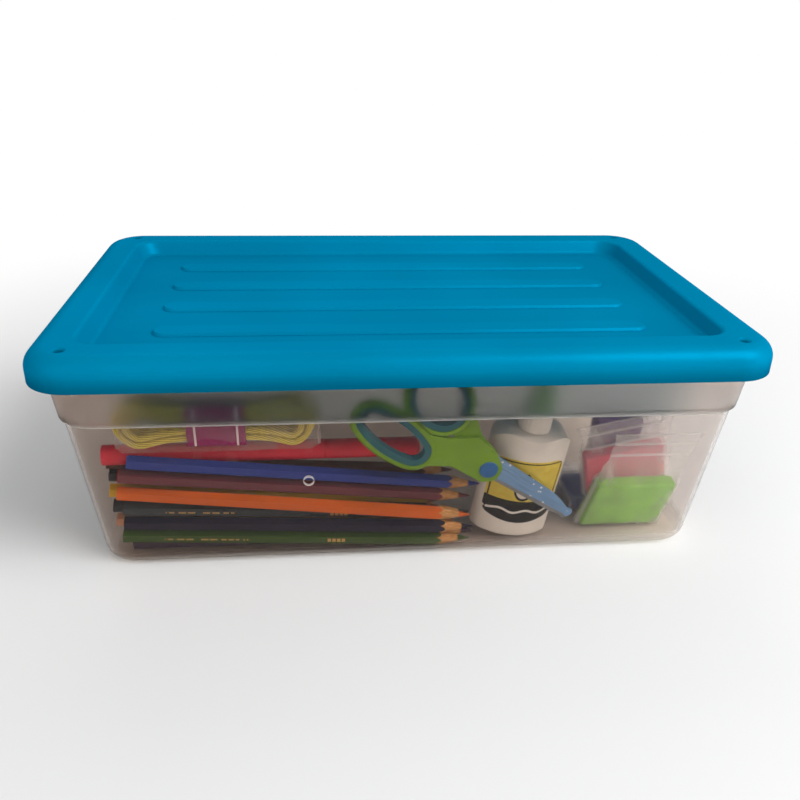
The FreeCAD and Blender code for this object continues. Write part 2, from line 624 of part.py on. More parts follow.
def make_glue():
    shoulder_top = GLUE_BODY + GLUE_SHOULDER
    neck = GLUE_NECK / 2

    def round_bar(radius, low, high):
        return Part.makeCylinder(radius, high - low, Vector(0, 0, low))

    bottle = glue_form(0, 0)
    bottle = bottle.makeChamfer(GLUE_FOOT_BEVEL, edges_at(bottle, 0))
    bottle = bottle.fuse(round_bar(neck, shoulder_top - GLUE_WALL, shoulder_top + GLUE_NECK_HEIGHT))
    bottle = bottle.cut(glue_form(GLUE_WALL, GLUE_WALL))
    mouth = shoulder_top + GLUE_NECK_HEIGHT + CUT_PAST
    bottle = bottle.cut(round_bar(neck - GLUE_NECK_WALL, GLUE_BODY, mouth))

    collar_low = shoulder_top + REST_GAP
    collar_top = collar_low + COLLAR_HEIGHT
    collar_r = COLLAR_WIDTH / 2
    bevel_low = collar_top - COLLAR_BEVEL
    nozzle_top = collar_top + NOZZLE_HEIGHT
    collar = frustum(COLLAR_SIDES, collar_r, collar_r, collar_low, bevel_low)
    collar = collar.fuse(frustum(COLLAR_SIDES, collar_r, collar_r - COLLAR_BEVEL, bevel_low, collar_top))
    collar = collar.fuse(frustum(GLUE_CAP_SIDES, NOZZLE_WIDTH / 2, NOZZLE_TIP / 2, collar_top, nozzle_top))
    neck_room = shoulder_top + GLUE_NECK_HEIGHT + REST_GAP
    collar = collar.cut(round_bar(neck + REST_GAP, collar_low - CUT_PAST, neck_room))
    collar = collar.cut(round_bar(NOZZLE_BORE / 2, collar_low, nozzle_top + CUT_PAST))

    cap_low = collar_top + REST_GAP
    cap = frustum(GLUE_CAP_SIDES, GLUE_CAP_WIDTH / 2, GLUE_CAP_TIP / 2, cap_low, cap_low + GLUE_CAP_HEIGHT)
    room = frustum(GLUE_CAP_SIDES, NOZZLE_WIDTH / 2 + REST_GAP, NOZZLE_TIP / 2 + REST_GAP,
                   cap_low - REST_GAP, cap_low + NOZZLE_HEIGHT)
    return {"bottle": bottle.removeSplitter(), "collar": collar.removeSplitter(), "cap": cap.cut(room),
            "label": make_label()}


GLUE_DEPTH = SCISSORS_DEPTH + BLADE_THICK + BODY_COVER + CAP_THICK + REST_GAP + GLUE_DEEP / 2


def glue_place():
    """The bottle leans with the wall and to the right, on the lowest point of its foot."""
    sink = math.hypot((GLUE_WIDTH / 2 - GLUE_FOOT_BEVEL) * math.sin(math.radians(GLUE_LEAN)),
                      (GLUE_DEEP / 2 - GLUE_FOOT_BEVEL) * TUB_DRAFT)
    lean = Placement(by_wall(GLUE_X, GLUE_DEPTH, TUB_FLOOR + REST_GAP + sink), ON_WALL.Rotation)
    upright = Placement(Vector(0, 0, 0), Rotation(Vector(1, 0, 0), -90))
    return lean * Placement(Vector(0, 0, 0), Rotation(Vector(0, 0, 1), -GLUE_LEAN)) * upright


# Floss hank, drawn flat: X along it, Y up, Z through its layers, and its middle at the origin

HANK_OUTER = HANK_INNER + (HANK_RUNS - 1) * HANK_STEP / 2


def hank_heights():
    """Half heights of the runs: in to the middle and out again, layer after layer."""
    inward = [HANK_OUTER - i * HANK_STEP / 2 for i in range(HANK_RUNS)]
    heights = list(inward)
    for layer in range(1, HANK_LAYERS):
        turn = inward[::-1] if layer % 2 else inward
        heights += turn[1:]
    return heights


def arc_between(a, b, tangent):
    """Arc from a to b that leaves a along tangent."""
    chord = b.sub(a)
    t = Vector(tangent).normalize()
    normal = chord.sub(t * chord.dot(t))
    if normal.Length < 1e-9:
        return Part.LineSegment(a, b)
    normal.normalize()
    radius = chord.Length ** 2 / (2 * chord.dot(normal))
    centre = a.add(normal * radius)
    middle = a.add(chord * 0.5).sub(centre).normalize() * radius
    if chord.dot(t) < 0:
        middle = middle * -1
    return Part.Arc(a, centre.add(middle), b)


def s_curve(a, b, tangent):
    """Two equal arcs from a to b, with the same direction at both ends."""
    half = a.add(b) * 0.5
    first = arc_between(a, half, tangent)
    return [first, arc_between(half, b, first.toShape().tangentAt(first.LastParameter))]


def hank_path():
    """Edges of the thread: lobes joined by runs that are drawn in under the band and climb there."""
    heights = hank_heights()
    lobe = HANK_LENGTH / 2 - HANK_OUTER - HANK_STRAND / 2
    flat = BAND_LENGTH / 2
    edges = []
    layer = 0
    start_z = -(HANK_LAYERS - 1) * HANK_LAYER_STEP / 2
    last = None
    for i, height in enumerate(heights):
        side = 1 if i % 2 == 0 else -1
        climbs = i % (HANK_RUNS - 1) == 0 and 0 < i < len(heights) - 1
        z0 = start_z + layer * HANK_LAYER_STEP
        layer += 1 if climbs else 0
        z1 = start_z + layer * HANK_LAYER_STEP
        go = Vector(side, 0, 0)
        begin = Vector(-side * lobe, side * height, z0)
        waist_in = Vector(-side * flat, side * (height - HANK_DRAW), z0)
        waist_out = Vector(side * flat, side * (height - HANK_DRAW), z1)
        finish = Vector(side * lobe, side * height, z1)
        if last is not None:
            bulge = Vector(-side * (abs(last.y - begin.y) / 2), 0, 0)
            edges.append(Part.Arc(last, last.add(begin) * 0.5 + bulge, begin))
        edges += s_curve(begin, waist_in, go)
        edges += s_curve(waist_in, waist_out, go) if climbs else [Part.LineSegment(waist_in, waist_out)]
        edges += s_curve(waist_out, finish, go)
        last = finish
    return edges


def hank_gap(edges):
    """Least gap of the thread to itself, measured on points along it."""
    spacing = 1.0
    points, places = [], []
    run = 0.0
    for edge in edges:
        shape = edge.toShape()
        count = max(2, int(shape.Length / spacing))
        for k in range(count):
            first, end = shape.ParameterRange
            points.append(shape.valueAt(first + (end - first) * k / count))
            places.append(run + shape.Length * k / count)
        run += shape.Length
    least = min(points[i].distanceToPoint(points[j]) for i in range(len(points))
                for j in range(i + 1, len(points)) if places[j] - places[i] > 4 * HANK_STRAND)
    return least - HANK_STRAND, run


def make_hank():
    edges = hank_path()
    gap, length = hank_gap(edges)
    print("hank: length", round(length, 1), "least gap to itself", round(gap, 2))
    shapes = [e.toShape() for e in edges]
    start = shapes[0].valueAt(shapes[0].FirstParameter)
    half = HANK_STRAND / 2
    ring = [start.add(Vector(0, y * half, z * half)) for y, z in ((1, 1), (-1, 1), (-1, -1), (1, -1))]
    section = Part.makePolygon(ring + ring[:1])
    return Part.Wire(shapes).makePipeShell([section], True, False)


def tube_block(length, high, deep, corner, wall):
    """Closed rectangular sleeve wall along X: its outer block and the room inside it."""
    def bar(h, d, r):
        face = rounded_block(h, d, -length / 2, length / 2, r)
        face.rotate(Vector(0, 0, 0), Vector(0, 1, 0), 90)
        return face
    return bar(deep + 2 * wall, high + 2 * wall, corner + wall), bar(deep, high, corner)


HANK_DEEP = (HANK_LAYERS - 1) * HANK_LAYER_STEP + HANK_STRAND
HANK_HIGH = 2 * HANK_OUTER + HANK_STRAND
FLOSS_ROOM = REST_GAP + BAND_PAPER


def make_floss():
    waist = HANK_HIGH - 2 * HANK_DRAW + 2 * REST_GAP
    sleeve, room = tube_block(BAND_LENGTH, waist, HANK_DEEP + 2 * REST_GAP, BAND_CORNER, BAND_PAPER)
    bag_high = HANK_HIGH + 2 * FLOSS_ROOM
    bag_deep = HANK_DEEP + 2 * (FLOSS_ROOM + REST_GAP)
    long_in = HANK_LENGTH + 2 * FLOSS_ROOM
    bag, _ = tube_block(long_in + 2 * FLOSS_BAG_WALL, bag_high, bag_deep, FLOSS_BAG_ROUND, FLOSS_BAG_WALL)
    _, inside = tube_block(long_in, bag_high, bag_deep, FLOSS_BAG_ROUND, FLOSS_BAG_WALL)
    return {"hank": make_hank(), "band": sleeve.cut(room), "bag": bag.cut(inside)}


def floss_place():
    """The bag of floss lies on the blue pencil and the marker, against the front wall."""
    bed = max(PENCILS[0][2] * PITCH + PENCIL_RADIUS, MARKER_RISE * PITCH + MARKER_WIDTH / 2)
    front = REST_GAP
    depth = front + FLOSS_BAG_WALL + FLOSS_ROOM + REST_GAP + HANK_DEEP / 2
    up = up_wall(TUB_FLOOR + bed + REST_GAP, front) + FLOSS_BAG_WALL + FLOSS_ROOM + HANK_HIGH / 2
    return lean_on_wall(HANK_CENTRE_X, depth, up, 0)


# Clay slabs and bags, drawn flat: X along the slab, Y up, Z through it, and the slab's middle at the origin

def clay_outline(lean, by):
    """Slab outline, pushed sideways by lean over its height and grown by a margin."""
    a, b = CLAY_LENGTH / 2, CLAY_HEIGHT / 2
    face = polygon_face([(-a - lean / 2, -b), (a - lean / 2, -b), (a + lean / 2, b), (-a + lean / 2, b)])
    return face.makeOffset2D(by, 2) if by else face


def make_clay(lean, flap):
    """A slab and the zip bag round it, with a flat seam at the sides and an empty top that holds the zip."""
    t = CLAY_THICK / 2
    clay = slab(clay_outline(lean, 0), -t, t)
    clay = clay.makeChamfer(CLAY_BEVEL, clay.Edges)
    inner = slab(clay_outline(lean, BAG_SLACK), -t - BAG_SLACK, t + BAG_SLACK)
    wall = BAG_SLACK + BAG_FILM
    outer = slab(clay_outline(lean, wall), -t - wall, t + wall)
    a, b = CLAY_LENGTH / 2 + BAG_SEAM, CLAY_HEIGHT / 2
    slope = lean / CLAY_HEIGHT
    top = b + flap
    sheet = polygon_face([(-a - slope * b, -b), (a - slope * b, -b),
                          (a + slope * top, top), (-a + slope * top, top)])
    bag = outer.fuse(slab(sheet, -BAG_FLAP / 2, BAG_FLAP / 2))
    for k in (1, 2):
        y = top - k * ZIP_SPACING
        strip = polygon_face([(-a + slope * y, y), (a + slope * y, y),
                              (a + slope * (y + ZIP_WIDTH), y + ZIP_WIDTH),
                              (-a + slope * (y + ZIP_WIDTH), y + ZIP_WIDTH)])
        bag = bag.fuse(slab(strip, -BAG_FLAP / 2 - ZIP_RIDGE, BAG_FLAP / 2 + ZIP_RIDGE))
    return clay, bag.cut(inner).removeSplitter()


PACK_THICK = CLAY_THICK + 2 * (BAG_SLACK + BAG_FILM)
PACK_STEP = PACK_THICK + 2 * REST_GAP


def clay_middle(top):
    """Where the packs lie along the box: the first bag's top corner, at that height, clears the end wall."""
    corner = CLAY_LENGTH / 2 + BAG_SEAM + GREEN_LEAN * (1 + GREEN_FLAP / CLAY_HEIGHT)
    return end_inner(top) - CLAY_END_GAP - corner


def clay_packs():
    """Name, placement, lean and flap of each pack: one stands at the wall, one lies flat, two lean on it."""
    half = PACK_THICK / 2
    wall = BAG_SLACK + BAG_FILM
    foot = CLAY_HEIGHT / 2 + wall
    floor = TUB_FLOOR + REST_GAP
    shelf = floor + PACK_THICK + REST_GAP
    middle = clay_middle(floor + foot + CLAY_HEIGHT / 2 + GREEN_FLAP)
    aside = middle + GREEN_LEAN / 2
    stand = lean_on_wall(aside, GREEN_DEPTH + half, up_wall(floor, GREEN_DEPTH) + foot, 0)
    back = by_wall(0, GREEN_DEPTH + PACK_THICK + REST_GAP, 0).y
    flat = Placement(Vector(middle, back + foot + BASE_ROUND / 2, floor + half), Rotation())
    tilt = math.radians(PINK_TILT)
    pink_depth = GREEN_DEPTH + PACK_STEP
    pink_foot = foot * math.cos(tilt) + (CLAY_LENGTH / 2 + wall) * math.sin(tilt)
    pink = lean_on_wall(aside, pink_depth + half, up_wall(shelf, pink_depth) + pink_foot, PINK_TILT)
    end_depth = pink_depth + PACK_STEP
    end_up = up_wall(shelf, end_depth) + CLAY_LENGTH / 2 + BAG_SEAM
    on_end = lean_on_wall(middle, end_depth + half, end_up, -90)
    return [("green", stand, GREEN_LEAN, GREEN_FLAP), ("blue", flat, 0, FLAT_FLAP),
            ("pink", pink, 0, FLAT_FLAP), ("purple", on_end, 0, FLAT_FLAP)]


save("tub", make_tub())
save("lid", make_lid())
make_pencils()
for piece, shape in make_marker().items():
    save("marker_" + piece, placed(shape, marker_place()))
for piece, shape in make_scissors().items():
    save("scissors_" + piece, placed(shape, scissors_place()))
for piece, shape in make_glue().items():
    save("glue_" + piece, placed(shape, glue_place()))
for piece, shape in make_floss().items():
    save("floss_" + piece, placed(shape, floss_place()))
for colour, place, lean, flap in clay_packs():
    clay, bag = make_clay(lean, flap)
    save("clay_" + colour, placed(clay, place))
    save("clay_bag_" + colour, placed(bag, place))
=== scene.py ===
# %% [markdown]
# # An art supply box
# A frosted tub under a blue lid, with pencils, scissors, glue, floss and clay seen through its wall.
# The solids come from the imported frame, so this lesson gives them their finishes and replaces the
# soft pieces: the thread, the film bags and the clay.

# %% Load the frame
import json
import math
import bmesh
import bpy
from mathutils import Matrix, Vector, noise


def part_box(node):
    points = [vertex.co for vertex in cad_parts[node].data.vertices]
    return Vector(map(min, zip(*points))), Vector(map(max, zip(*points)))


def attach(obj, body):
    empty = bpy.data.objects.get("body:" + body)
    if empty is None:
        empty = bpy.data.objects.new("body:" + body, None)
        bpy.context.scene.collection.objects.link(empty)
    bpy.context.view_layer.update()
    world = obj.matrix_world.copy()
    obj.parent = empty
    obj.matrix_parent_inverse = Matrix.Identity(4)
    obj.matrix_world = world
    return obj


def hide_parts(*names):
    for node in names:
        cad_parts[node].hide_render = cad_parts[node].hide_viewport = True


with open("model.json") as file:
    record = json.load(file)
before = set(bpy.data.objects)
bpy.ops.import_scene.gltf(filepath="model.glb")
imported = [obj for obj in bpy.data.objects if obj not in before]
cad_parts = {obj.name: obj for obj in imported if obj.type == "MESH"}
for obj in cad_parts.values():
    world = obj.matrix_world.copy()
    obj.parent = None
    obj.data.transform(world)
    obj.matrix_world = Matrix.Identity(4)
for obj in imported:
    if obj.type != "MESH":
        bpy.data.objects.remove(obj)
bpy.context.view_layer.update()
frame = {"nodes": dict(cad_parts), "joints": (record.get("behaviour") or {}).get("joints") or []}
nodes = frame["nodes"]
joints = {joint["name"]: joint for joint in frame["joints"]}
MM = 0.001

# %% [markdown]
# ## The camera
# The photograph was taken from a little above the box and slightly to its left. Its place and angles
# were worked out from the edges of the lid and the tub, so the camera is written as a place, three
# angles and a focal length, and not dragged by eye.

# %% Camera
CAMERA_PLACE = Vector((-45.6, -435.7, 259.4)) * MM
CAMERA_PITCH = math.radians(25.80)
CAMERA_YAW = math.radians(6.50)
CAMERA_ROLL = math.radians(1.62)
FOCAL_PIXELS = 827.1
FRAME_PIXELS = 800.0
SENSOR_MM = 36.0


def camera_axes():
    """Right, up and backward directions of a camera with this yaw, pitch and roll."""
    ahead = Vector((math.sin(CAMERA_YAW) * math.cos(CAMERA_PITCH),
                    math.cos(CAMERA_YAW) * math.cos(CAMERA_PITCH), -math.sin(CAMERA_PITCH)))
    level = Vector((math.cos(CAMERA_YAW), -math.sin(CAMERA_YAW), 0))
    upright = level.cross(ahead)
    right = level * math.cos(CAMERA_ROLL) + upright * math.sin(CAMERA_ROLL)
    up = upright * math.cos(CAMERA_ROLL) - level * math.sin(CAMERA_ROLL)
    return right, up, -ahead


def axes_matrix(x, y, z, place):
    """Matrix that carries a piece drawn at the origin to its own axes and place."""
    turn = Matrix((x, y, z)).transposed().to_4x4()
    return Matrix.Translation(place) @ turn


camera = bpy.data.objects.new("camera", bpy.data.cameras.new("camera"))
camera.matrix_world = axes_matrix(*camera_axes(), CAMERA_PLACE)
camera.data.sensor_width = SENSOR_MM
camera.data.lens = SENSOR_MM * FOCAL_PIXELS / FRAME_PIXELS
camera.data.clip_start = 0.01
bpy.context.scene.collection.objects.link(camera)
bpy.context.scene.camera = camera
bpy.context.scene.view_settings.view_transform = "Standard"
print("lens", round(camera.data.lens, 2), "mm")

# %% [markdown]
# ## Shader maths as Python
# Node trees are long to write by hand. A small class wraps a socket, so that sums of sockets add
# Math nodes, and a Finish holds one material and adds any other node with a single method.

# %% Shader helpers
def ink(code):
    """Linear colour of a six-digit screen colour."""
    parts = [int(code[i:i + 2], 16) / 255 for i in (0, 2, 4)]
    linear = [c / 12.92 if c <= 0.04045 else ((c + 0.055) / 1.055) ** 2.4 for c in parts]
    return (*linear, 1.0)


def deeper(code, share):
    """The same colour with a share of its light."""
    return (*[share * part for part in ink(code)[:3]], 1.0)


class Wire:
    """A socket that sums and compares like a number."""

    def __init__(self, finish, socket):
        self.finish = finish
        self.socket = socket

    def maths(self, operation, *values):
        """One Math node of these values."""
        return self.finish.node("ShaderNodeMath", {"operation": operation}, dict(enumerate(values)))

    def __add__(self, other):
        return self.maths("ADD", self, other)

    def __radd__(self, other):
        return self.maths("ADD", other, self)

    def __sub__(self, other):
        return self.maths("SUBTRACT", self, other)

    def __rsub__(self, other):
        return self.maths("SUBTRACT", other, self)

    def __mul__(self, other):
        return self.maths("MULTIPLY", self, other)

    def __rmul__(self, other):
        return self.maths("MULTIPLY", other, self)

    def __truediv__(self, other):
        return self.maths("DIVIDE", self, other)

    def __rtruediv__(self, other):
        return self.maths("DIVIDE", other, self)

    def __lt__(self, other):
        return self.maths("LESS_THAN", self, other)

    def __gt__(self, other):
        return self.maths("GREATER_THAN", self, other)

    def __abs__(self):
        return self.maths("ABSOLUTE", self)

    def floor(self):
        return self.maths("FLOOR", self)

    def root(self):
        return self.maths("SQRT", self)

    def sine(self):
        return self.maths("SINE", self)

    def cosine(self):
        return self.maths("COSINE", self)

    def larger(self, other):
        return self.maths("MAXIMUM", self, other)

    def smaller(self, other):
        return self.maths("MINIMUM", self, other)

    def between(self, low, high):
        """0 below low, 1 above high, and a soft step between."""
        return self.finish.node("ShaderNodeMapRange", {"interpolation_type": "SMOOTHSTEP"},
                                {"Value": self, "From Min": low, "From Max": high})


class Finish:
    """One material, built round its Principled shader."""

    def __init__(self, name, **constants):
        self.material = bpy.data.materials.new(name)
        self.material.use_nodes = True
        self.tree = self.material.node_tree
        self.shader = self.tree.nodes["Principled BSDF"]
        for socket, value in constants.items():
            self.shader.inputs[socket.replace("_", " ")].default_value = value

    def put(self, socket, value):
        """Link a wire to a socket, or set its value."""
        if isinstance(value, Wire):
            self.tree.links.new(value.socket, socket)
        else:
            socket.default_value = value

    def node(self, kind, settings=None, inputs=None, output=0):
        """Any node: its settings first, then the values or links of its sockets."""
        made = self.tree.nodes.new(kind)
        for name, value in (settings or {}).items():
            setattr(made, name, value)
        for key, value in (inputs or {}).items():
            self.put(made.inputs[key], value)
        return Wire(self, made.outputs[output])

    def feed(self, socket, value):
        """Put a value on one of the shader's own sockets."""
        self.put(self.shader.inputs[socket], value)

    def place(self, matrix=None):
        """Object coordinates, or the coordinates of a piece drawn at the origin and carried by matrix."""
        coordinates = self.node("ShaderNodeTexCoord", output="Object")
        where, turn, _ = (matrix or Matrix()).decompose()
        return self.node("ShaderNodeMapping", {"vector_type": "TEXTURE"},
                         {"Vector": coordinates, "Location": where, "Rotation": turn.to_euler()})

    def axes(self, vector):
        """The three parts of a vector."""
        split = self.tree.nodes.new("ShaderNodeSeparateXYZ")
        self.put(split.inputs[0], vector)
        return [Wire(self, output) for output in split.outputs]

    def grain(self, vector, size, detail=2.0, stretch=(1, 1, 1)):
        """Noise whose features are about size metres across."""
        scaled = self.node("ShaderNodeVectorMath", {"operation": "MULTIPLY"}, {0: vector, 1: stretch})
        inputs = {"Vector": scaled, "Scale": 1 / size, "Detail": detail}
        return self.node("ShaderNodeTexNoise", None, inputs)

    def blend(self, factor, first, second):
        """Colour mix; first and second are colours or wires."""
        made = self.tree.nodes.new("ShaderNodeMix")
        made.data_type = "RGBA"
        self.put(made.inputs["Factor"], factor)
        colours = [socket for socket in made.inputs if socket.type == "RGBA"]
        self.put(colours[0], first)
        self.put(colours[1], second)
        return Wire(self, [socket for socket in made.outputs if socket.type == "RGBA"][0])

    def bump(self, height, depth, strength):
        """Bump of a height that runs from 0 to 1 over depth metres."""
        inputs = {"Height": height, "Distance": depth, "Strength": strength}
        self.feed("Normal", self.node("ShaderNodeBump", None, inputs))


def dress(finish, *names):
    """Give CAD nodes a finish in their material slot."""
    for name in names:
        data = nodes[name].data
        data.materials.clear()
        data.materials.append(finish.material)


print("helpers ready")

# %% [markdown]
# ## The lid
# The lid is a polypropylene moulding with a satin skin. What the eye reads is the soft sheen along
# its bullnose and ribs, and that sheen is blue and not white, so a share of metal stands in for the
# tinted gloss. A fine orange-peel bump and faint scuffs, which only change the roughness, do the rest.
# Little light gets under the skirt and into the four dimples, so a painted shade deepens the colour there.

# %% Lid finish
LID_LOW, LID_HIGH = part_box("lid")
SKIRT_HEIGHT, SKIRT_SHADE = 10.0 * MM, 0.6
DIMPLE_X, DIMPLE_Y = LID_HIGH.x - 17.8 * MM, LID_HIGH.y - 12.8 * MM
DIMPLE_INNER, DIMPLE_RADIUS, DIMPLE_SHADE = 1.2 * MM, 3.1 * MM, 0.75


def lid_finish():
    """Satin blue with a blue sheen, and painted shade under the skirt and in the dimples."""
    lid = Finish("lid_blue", Metallic=0.16, Specular_IOR_Level=0.0, Specular_Tint=ink("0098d8"))
    where = lid.place()
    scuffs = lid.grain(where, 30 * MM, 6, (1, 4, 1)).between(0.52, 0.75)
    tone = lid.grain(where, 120 * MM, 2)
    x, y, height = lid.axes(where)
    # Painted shade: the colour deepens towards the skirt's lower edge and inside the four dimples.
    skirt_shade = SKIRT_SHADE * (1.0 - (height - LID_LOW.z).between(0, SKIRT_HEIGHT))
    across, along = abs(x) - DIMPLE_X, abs(y) - DIMPLE_Y
    away = (across * across + along * along).root()
    dimple_shade = DIMPLE_SHADE * (1.0 - away.between(DIMPLE_INNER, DIMPLE_RADIUS))
    blue = lid.blend(tone.between(0.3, 0.7), ink("0081aa"), ink("0089b4"))
    # The dark blue is painted shade under the skirt and in the dimples.
    lid.feed("Base Color", lid.blend(skirt_shade.larger(dimple_shade), blue, ink("004258")))
    lid.feed("Roughness", 0.4 + 0.14 * scuffs)
    lid.bump(lid.grain(where, 1.2 * MM, 3), 0.05 * MM, 0.5)
    return lid


dress(lid_finish(), "lid")
print("lid dressed")

# %% [markdown]
# ## The frosted tub
# The wall passes light but scatters it. A rough transmission does this by itself: a pencil that touches
# the wall stays sharp and what lies behind blurs. The lower wall is polished and nearly clear, and the
# band above the step is matt, as is the foot, so the roughness changes with height. The wall is painted
# a little paler towards the right end, as painted light from the key lamp on that side. The step's edge
# is mixed with a pale diffuse shader, a painted highlight along the step, and so is the small ring that
# the mould left on the front, whose top and bottom arcs carry a painted highlight. The foot is pale too,
# more so towards the right, where that is painted light. Lamp rays pass the front and end walls, because
# otherwise the lamps wouldn't reach what is inside, fewer of them pass the back and the bottom, and none
# the matt band. Along the front the band is also deeper in colour, a painted shade where the lid shades it.

# %% Tub finish
STEP_HEIGHT, STEP_BLUR = 83.0 * MM, 0.5 * MM
LIP_LOW, LIP_HIGH, LIP_HIGHLIGHT = 82.8 * MM, 84.6 * MM, 0.62
MARK_X, MARK_HEIGHT, MARK_RADIUS, MARK_WIDTH = -49.5 * MM, 49.5 * MM, 2.5 * MM, 0.2 * MM
FOOT_LOW, FOOT_HIGH, FOOT_LEFT, FOOT_RIGHT = 2.0 * MM, 13.0 * MM, 0.01, 0.34
SHADE_FULL, SHADE_END = 112.0 * MM, 146.0 * MM
BACK_START, END_START, BOTTOM_TOP = 60.0 * MM, 135.0 * MM, 2.5 * MM
FRONT_PASS, BACK_PASS = 0.83, 0.6


def tub_finish():
    """Clear below the step and matt above it, with painted highlights at the step and the ring, a pale
    foot, painted light towards the right end and painted shade along the front band.
    """
    tub = Finish("frosted_tub", IOR=1.25, Transmission_Weight=1.0)
    where = tub.place()
    x, y, height = tub.axes(where)
    band = height.between(STEP_HEIGHT - 2 * STEP_BLUR, STEP_HEIGHT)
    foot = 1.0 - height.between(FOOT_LOW, FOOT_HIGH)
    cloud = tub.grain(where, 60 * MM, 3)
    shaded = band * (y < 0) * (1.0 - abs(x).between(SHADE_FULL, SHADE_END))
    # Share of painted light from the key lamp, which grows towards the right end.
    right_light = x.between(0, LID_HIGH.x)
    frost_and_light = tub.blend(cloud.between(0.3, 0.7), ink("e5d9d1"), ink("eadfd8"))
    # Painted light: the wall is paler towards the right end.
    frost_and_light = tub.blend(right_light, frost_and_light, ink("ede7e3"))
    # Painted shade: along the front the band is deeper in colour where the lid shades it.
    tub.feed("Base Color", tub.blend(shaded, frost_and_light, ink("bac0c0")))
    tub.feed("Roughness", 0.08 + 0.7 * band + 0.3 * foot + 0.04 * cloud)
    tub.bump(tub.grain(where, 5 * MM, 2), 0.02 * MM, 0.3)
    across, rise = x - MARK_X, height - MARK_HEIGHT
    away = abs((across * across + rise * rise).root() - MARK_RADIUS)
    # The mould's ring is pale. Its brighter top and bottom arcs are a painted highlight.
    mould_mark_and_highlight = (away < MARK_WIDTH) * (y < 0) * (0.2 + 0.75 * abs(rise / MARK_RADIUS))
    # The pale line along the step's edge is a painted highlight.
    lip_highlight = (height > LIP_LOW) * (1.0 - height.between(LIP_LOW, LIP_HIGH)) * LIP_HIGHLIGHT
    pale_shader = tub.node("ShaderNodeBsdfDiffuse", None, {"Color": ink("f2ece6")})
    # The foot's pale share grows towards the right, as painted light.
    haze = foot * (FOOT_LEFT + (FOOT_RIGHT - FOOT_LEFT) * right_light)
    pale = mould_mark_and_highlight.larger(lip_highlight) + haze
    wall = tub.node("ShaderNodeMixShader", None, {0: pale, 1: Wire(tub, tub.shader.outputs[0]), 2: pale_shader})
    see_through = tub.node("ShaderNodeBsdfTransparent", None, {"Color": ink("f4f2ee")})
    lamp_ray = tub.node("ShaderNodeLightPath", output="Is Shadow Ray")
    bright = FRONT_PASS + (1 - FRONT_PASS) * (abs(x) > END_START)
    dim = (y > BACK_START).larger(height < BOTTOM_TOP)
    passing = lamp_ray * bright * (1.0 - (1 - BACK_PASS) * dim) * (1.0 - band)
    mixed = tub.node("ShaderNodeMixShader", None, {0: passing, 1: wall, 2: see_through})
    tub.put(tub.tree.nodes["Material Output"].inputs["Surface"], mixed)
    return tub


dress(tub_finish(), "tub")
print("tub dressed")

# %% [markdown]
# ## The pencils
# Each pencil has its own axes, read from its solids: the middle of its butt and the tip of its lead.
# Along that axis the paint ends where the sharpener's cone begins, and a point belongs to the cone when
# its distance from the axis is the cone's own radius there. Small foil dashes stand where a print would be.

# %% Pencil finish
PENCIL_LENGTH = 175.0 * MM
PENCIL_RADIUS = 3.75 * MM
POINT_LENGTH = 17.0 * MM
TIP_RADIUS = 0.3 * MM
POINT_FLATNESS = 0.955
PAINTS = {"blue": "3346a0", "mauve": "743c46", "orange": "e06a20", "grey": "3a4246", "navy": "1d1a34",
          "olive": "3f5c24", "purple": "46344a", "red": "b0282c", "yellow": "e4b820", "charcoal": "26262a",
          "peach": "e0a27c", "black": "18181a", "brown": "5a3220", "green": "2f6a38"}
# Rows of dashes along a pencil: start, end, step and half height in millimetres
PRINTED = {"grey": ((20, 53, 0.9, 0.45), (95, 112, 2.4, 1.0)),
           "olive": ((20, 61, 0.9, 0.45), (95, 110, 2.4, 1.0))}
PRINT_FILL, PRINT_SKIP = 0.72, 0.25
WOOD_PALE, WOOD_DARK, FOIL = ink("dcae74"), ink("b98348"), ink("cfa765")


def stick_axes(casing, lead):
    """Matrix of a stick whose Z runs from the middle of its butt to its tip, with Y to the back."""
    points = [v.co for v in nodes[casing].data.vertices]
    tips = [v.co for v in nodes[lead].data.vertices]
    middle = sum(points, Vector()) / len(points)
    rough = (sum(tips, Vector()) / len(tips) - middle).normalized()
    low, high = min(p.dot(rough) for p in points), max(p.dot(rough) for p in tips)
    butts = [p for p in points if p.dot(rough) < low + PENCIL_RADIUS * 0.6]
    ends = [p for p in tips if p.dot(rough) > high - TIP_RADIUS]
    butt, tip = sum(butts, Vector()) / len(butts), sum(ends, Vector()) / len(ends)
    along = (tip - butt).normalized()
    back = (Vector((0, 1, 0)) - along * along.y).normalized()
    return axes_matrix(back.cross(along), back, along, butt)


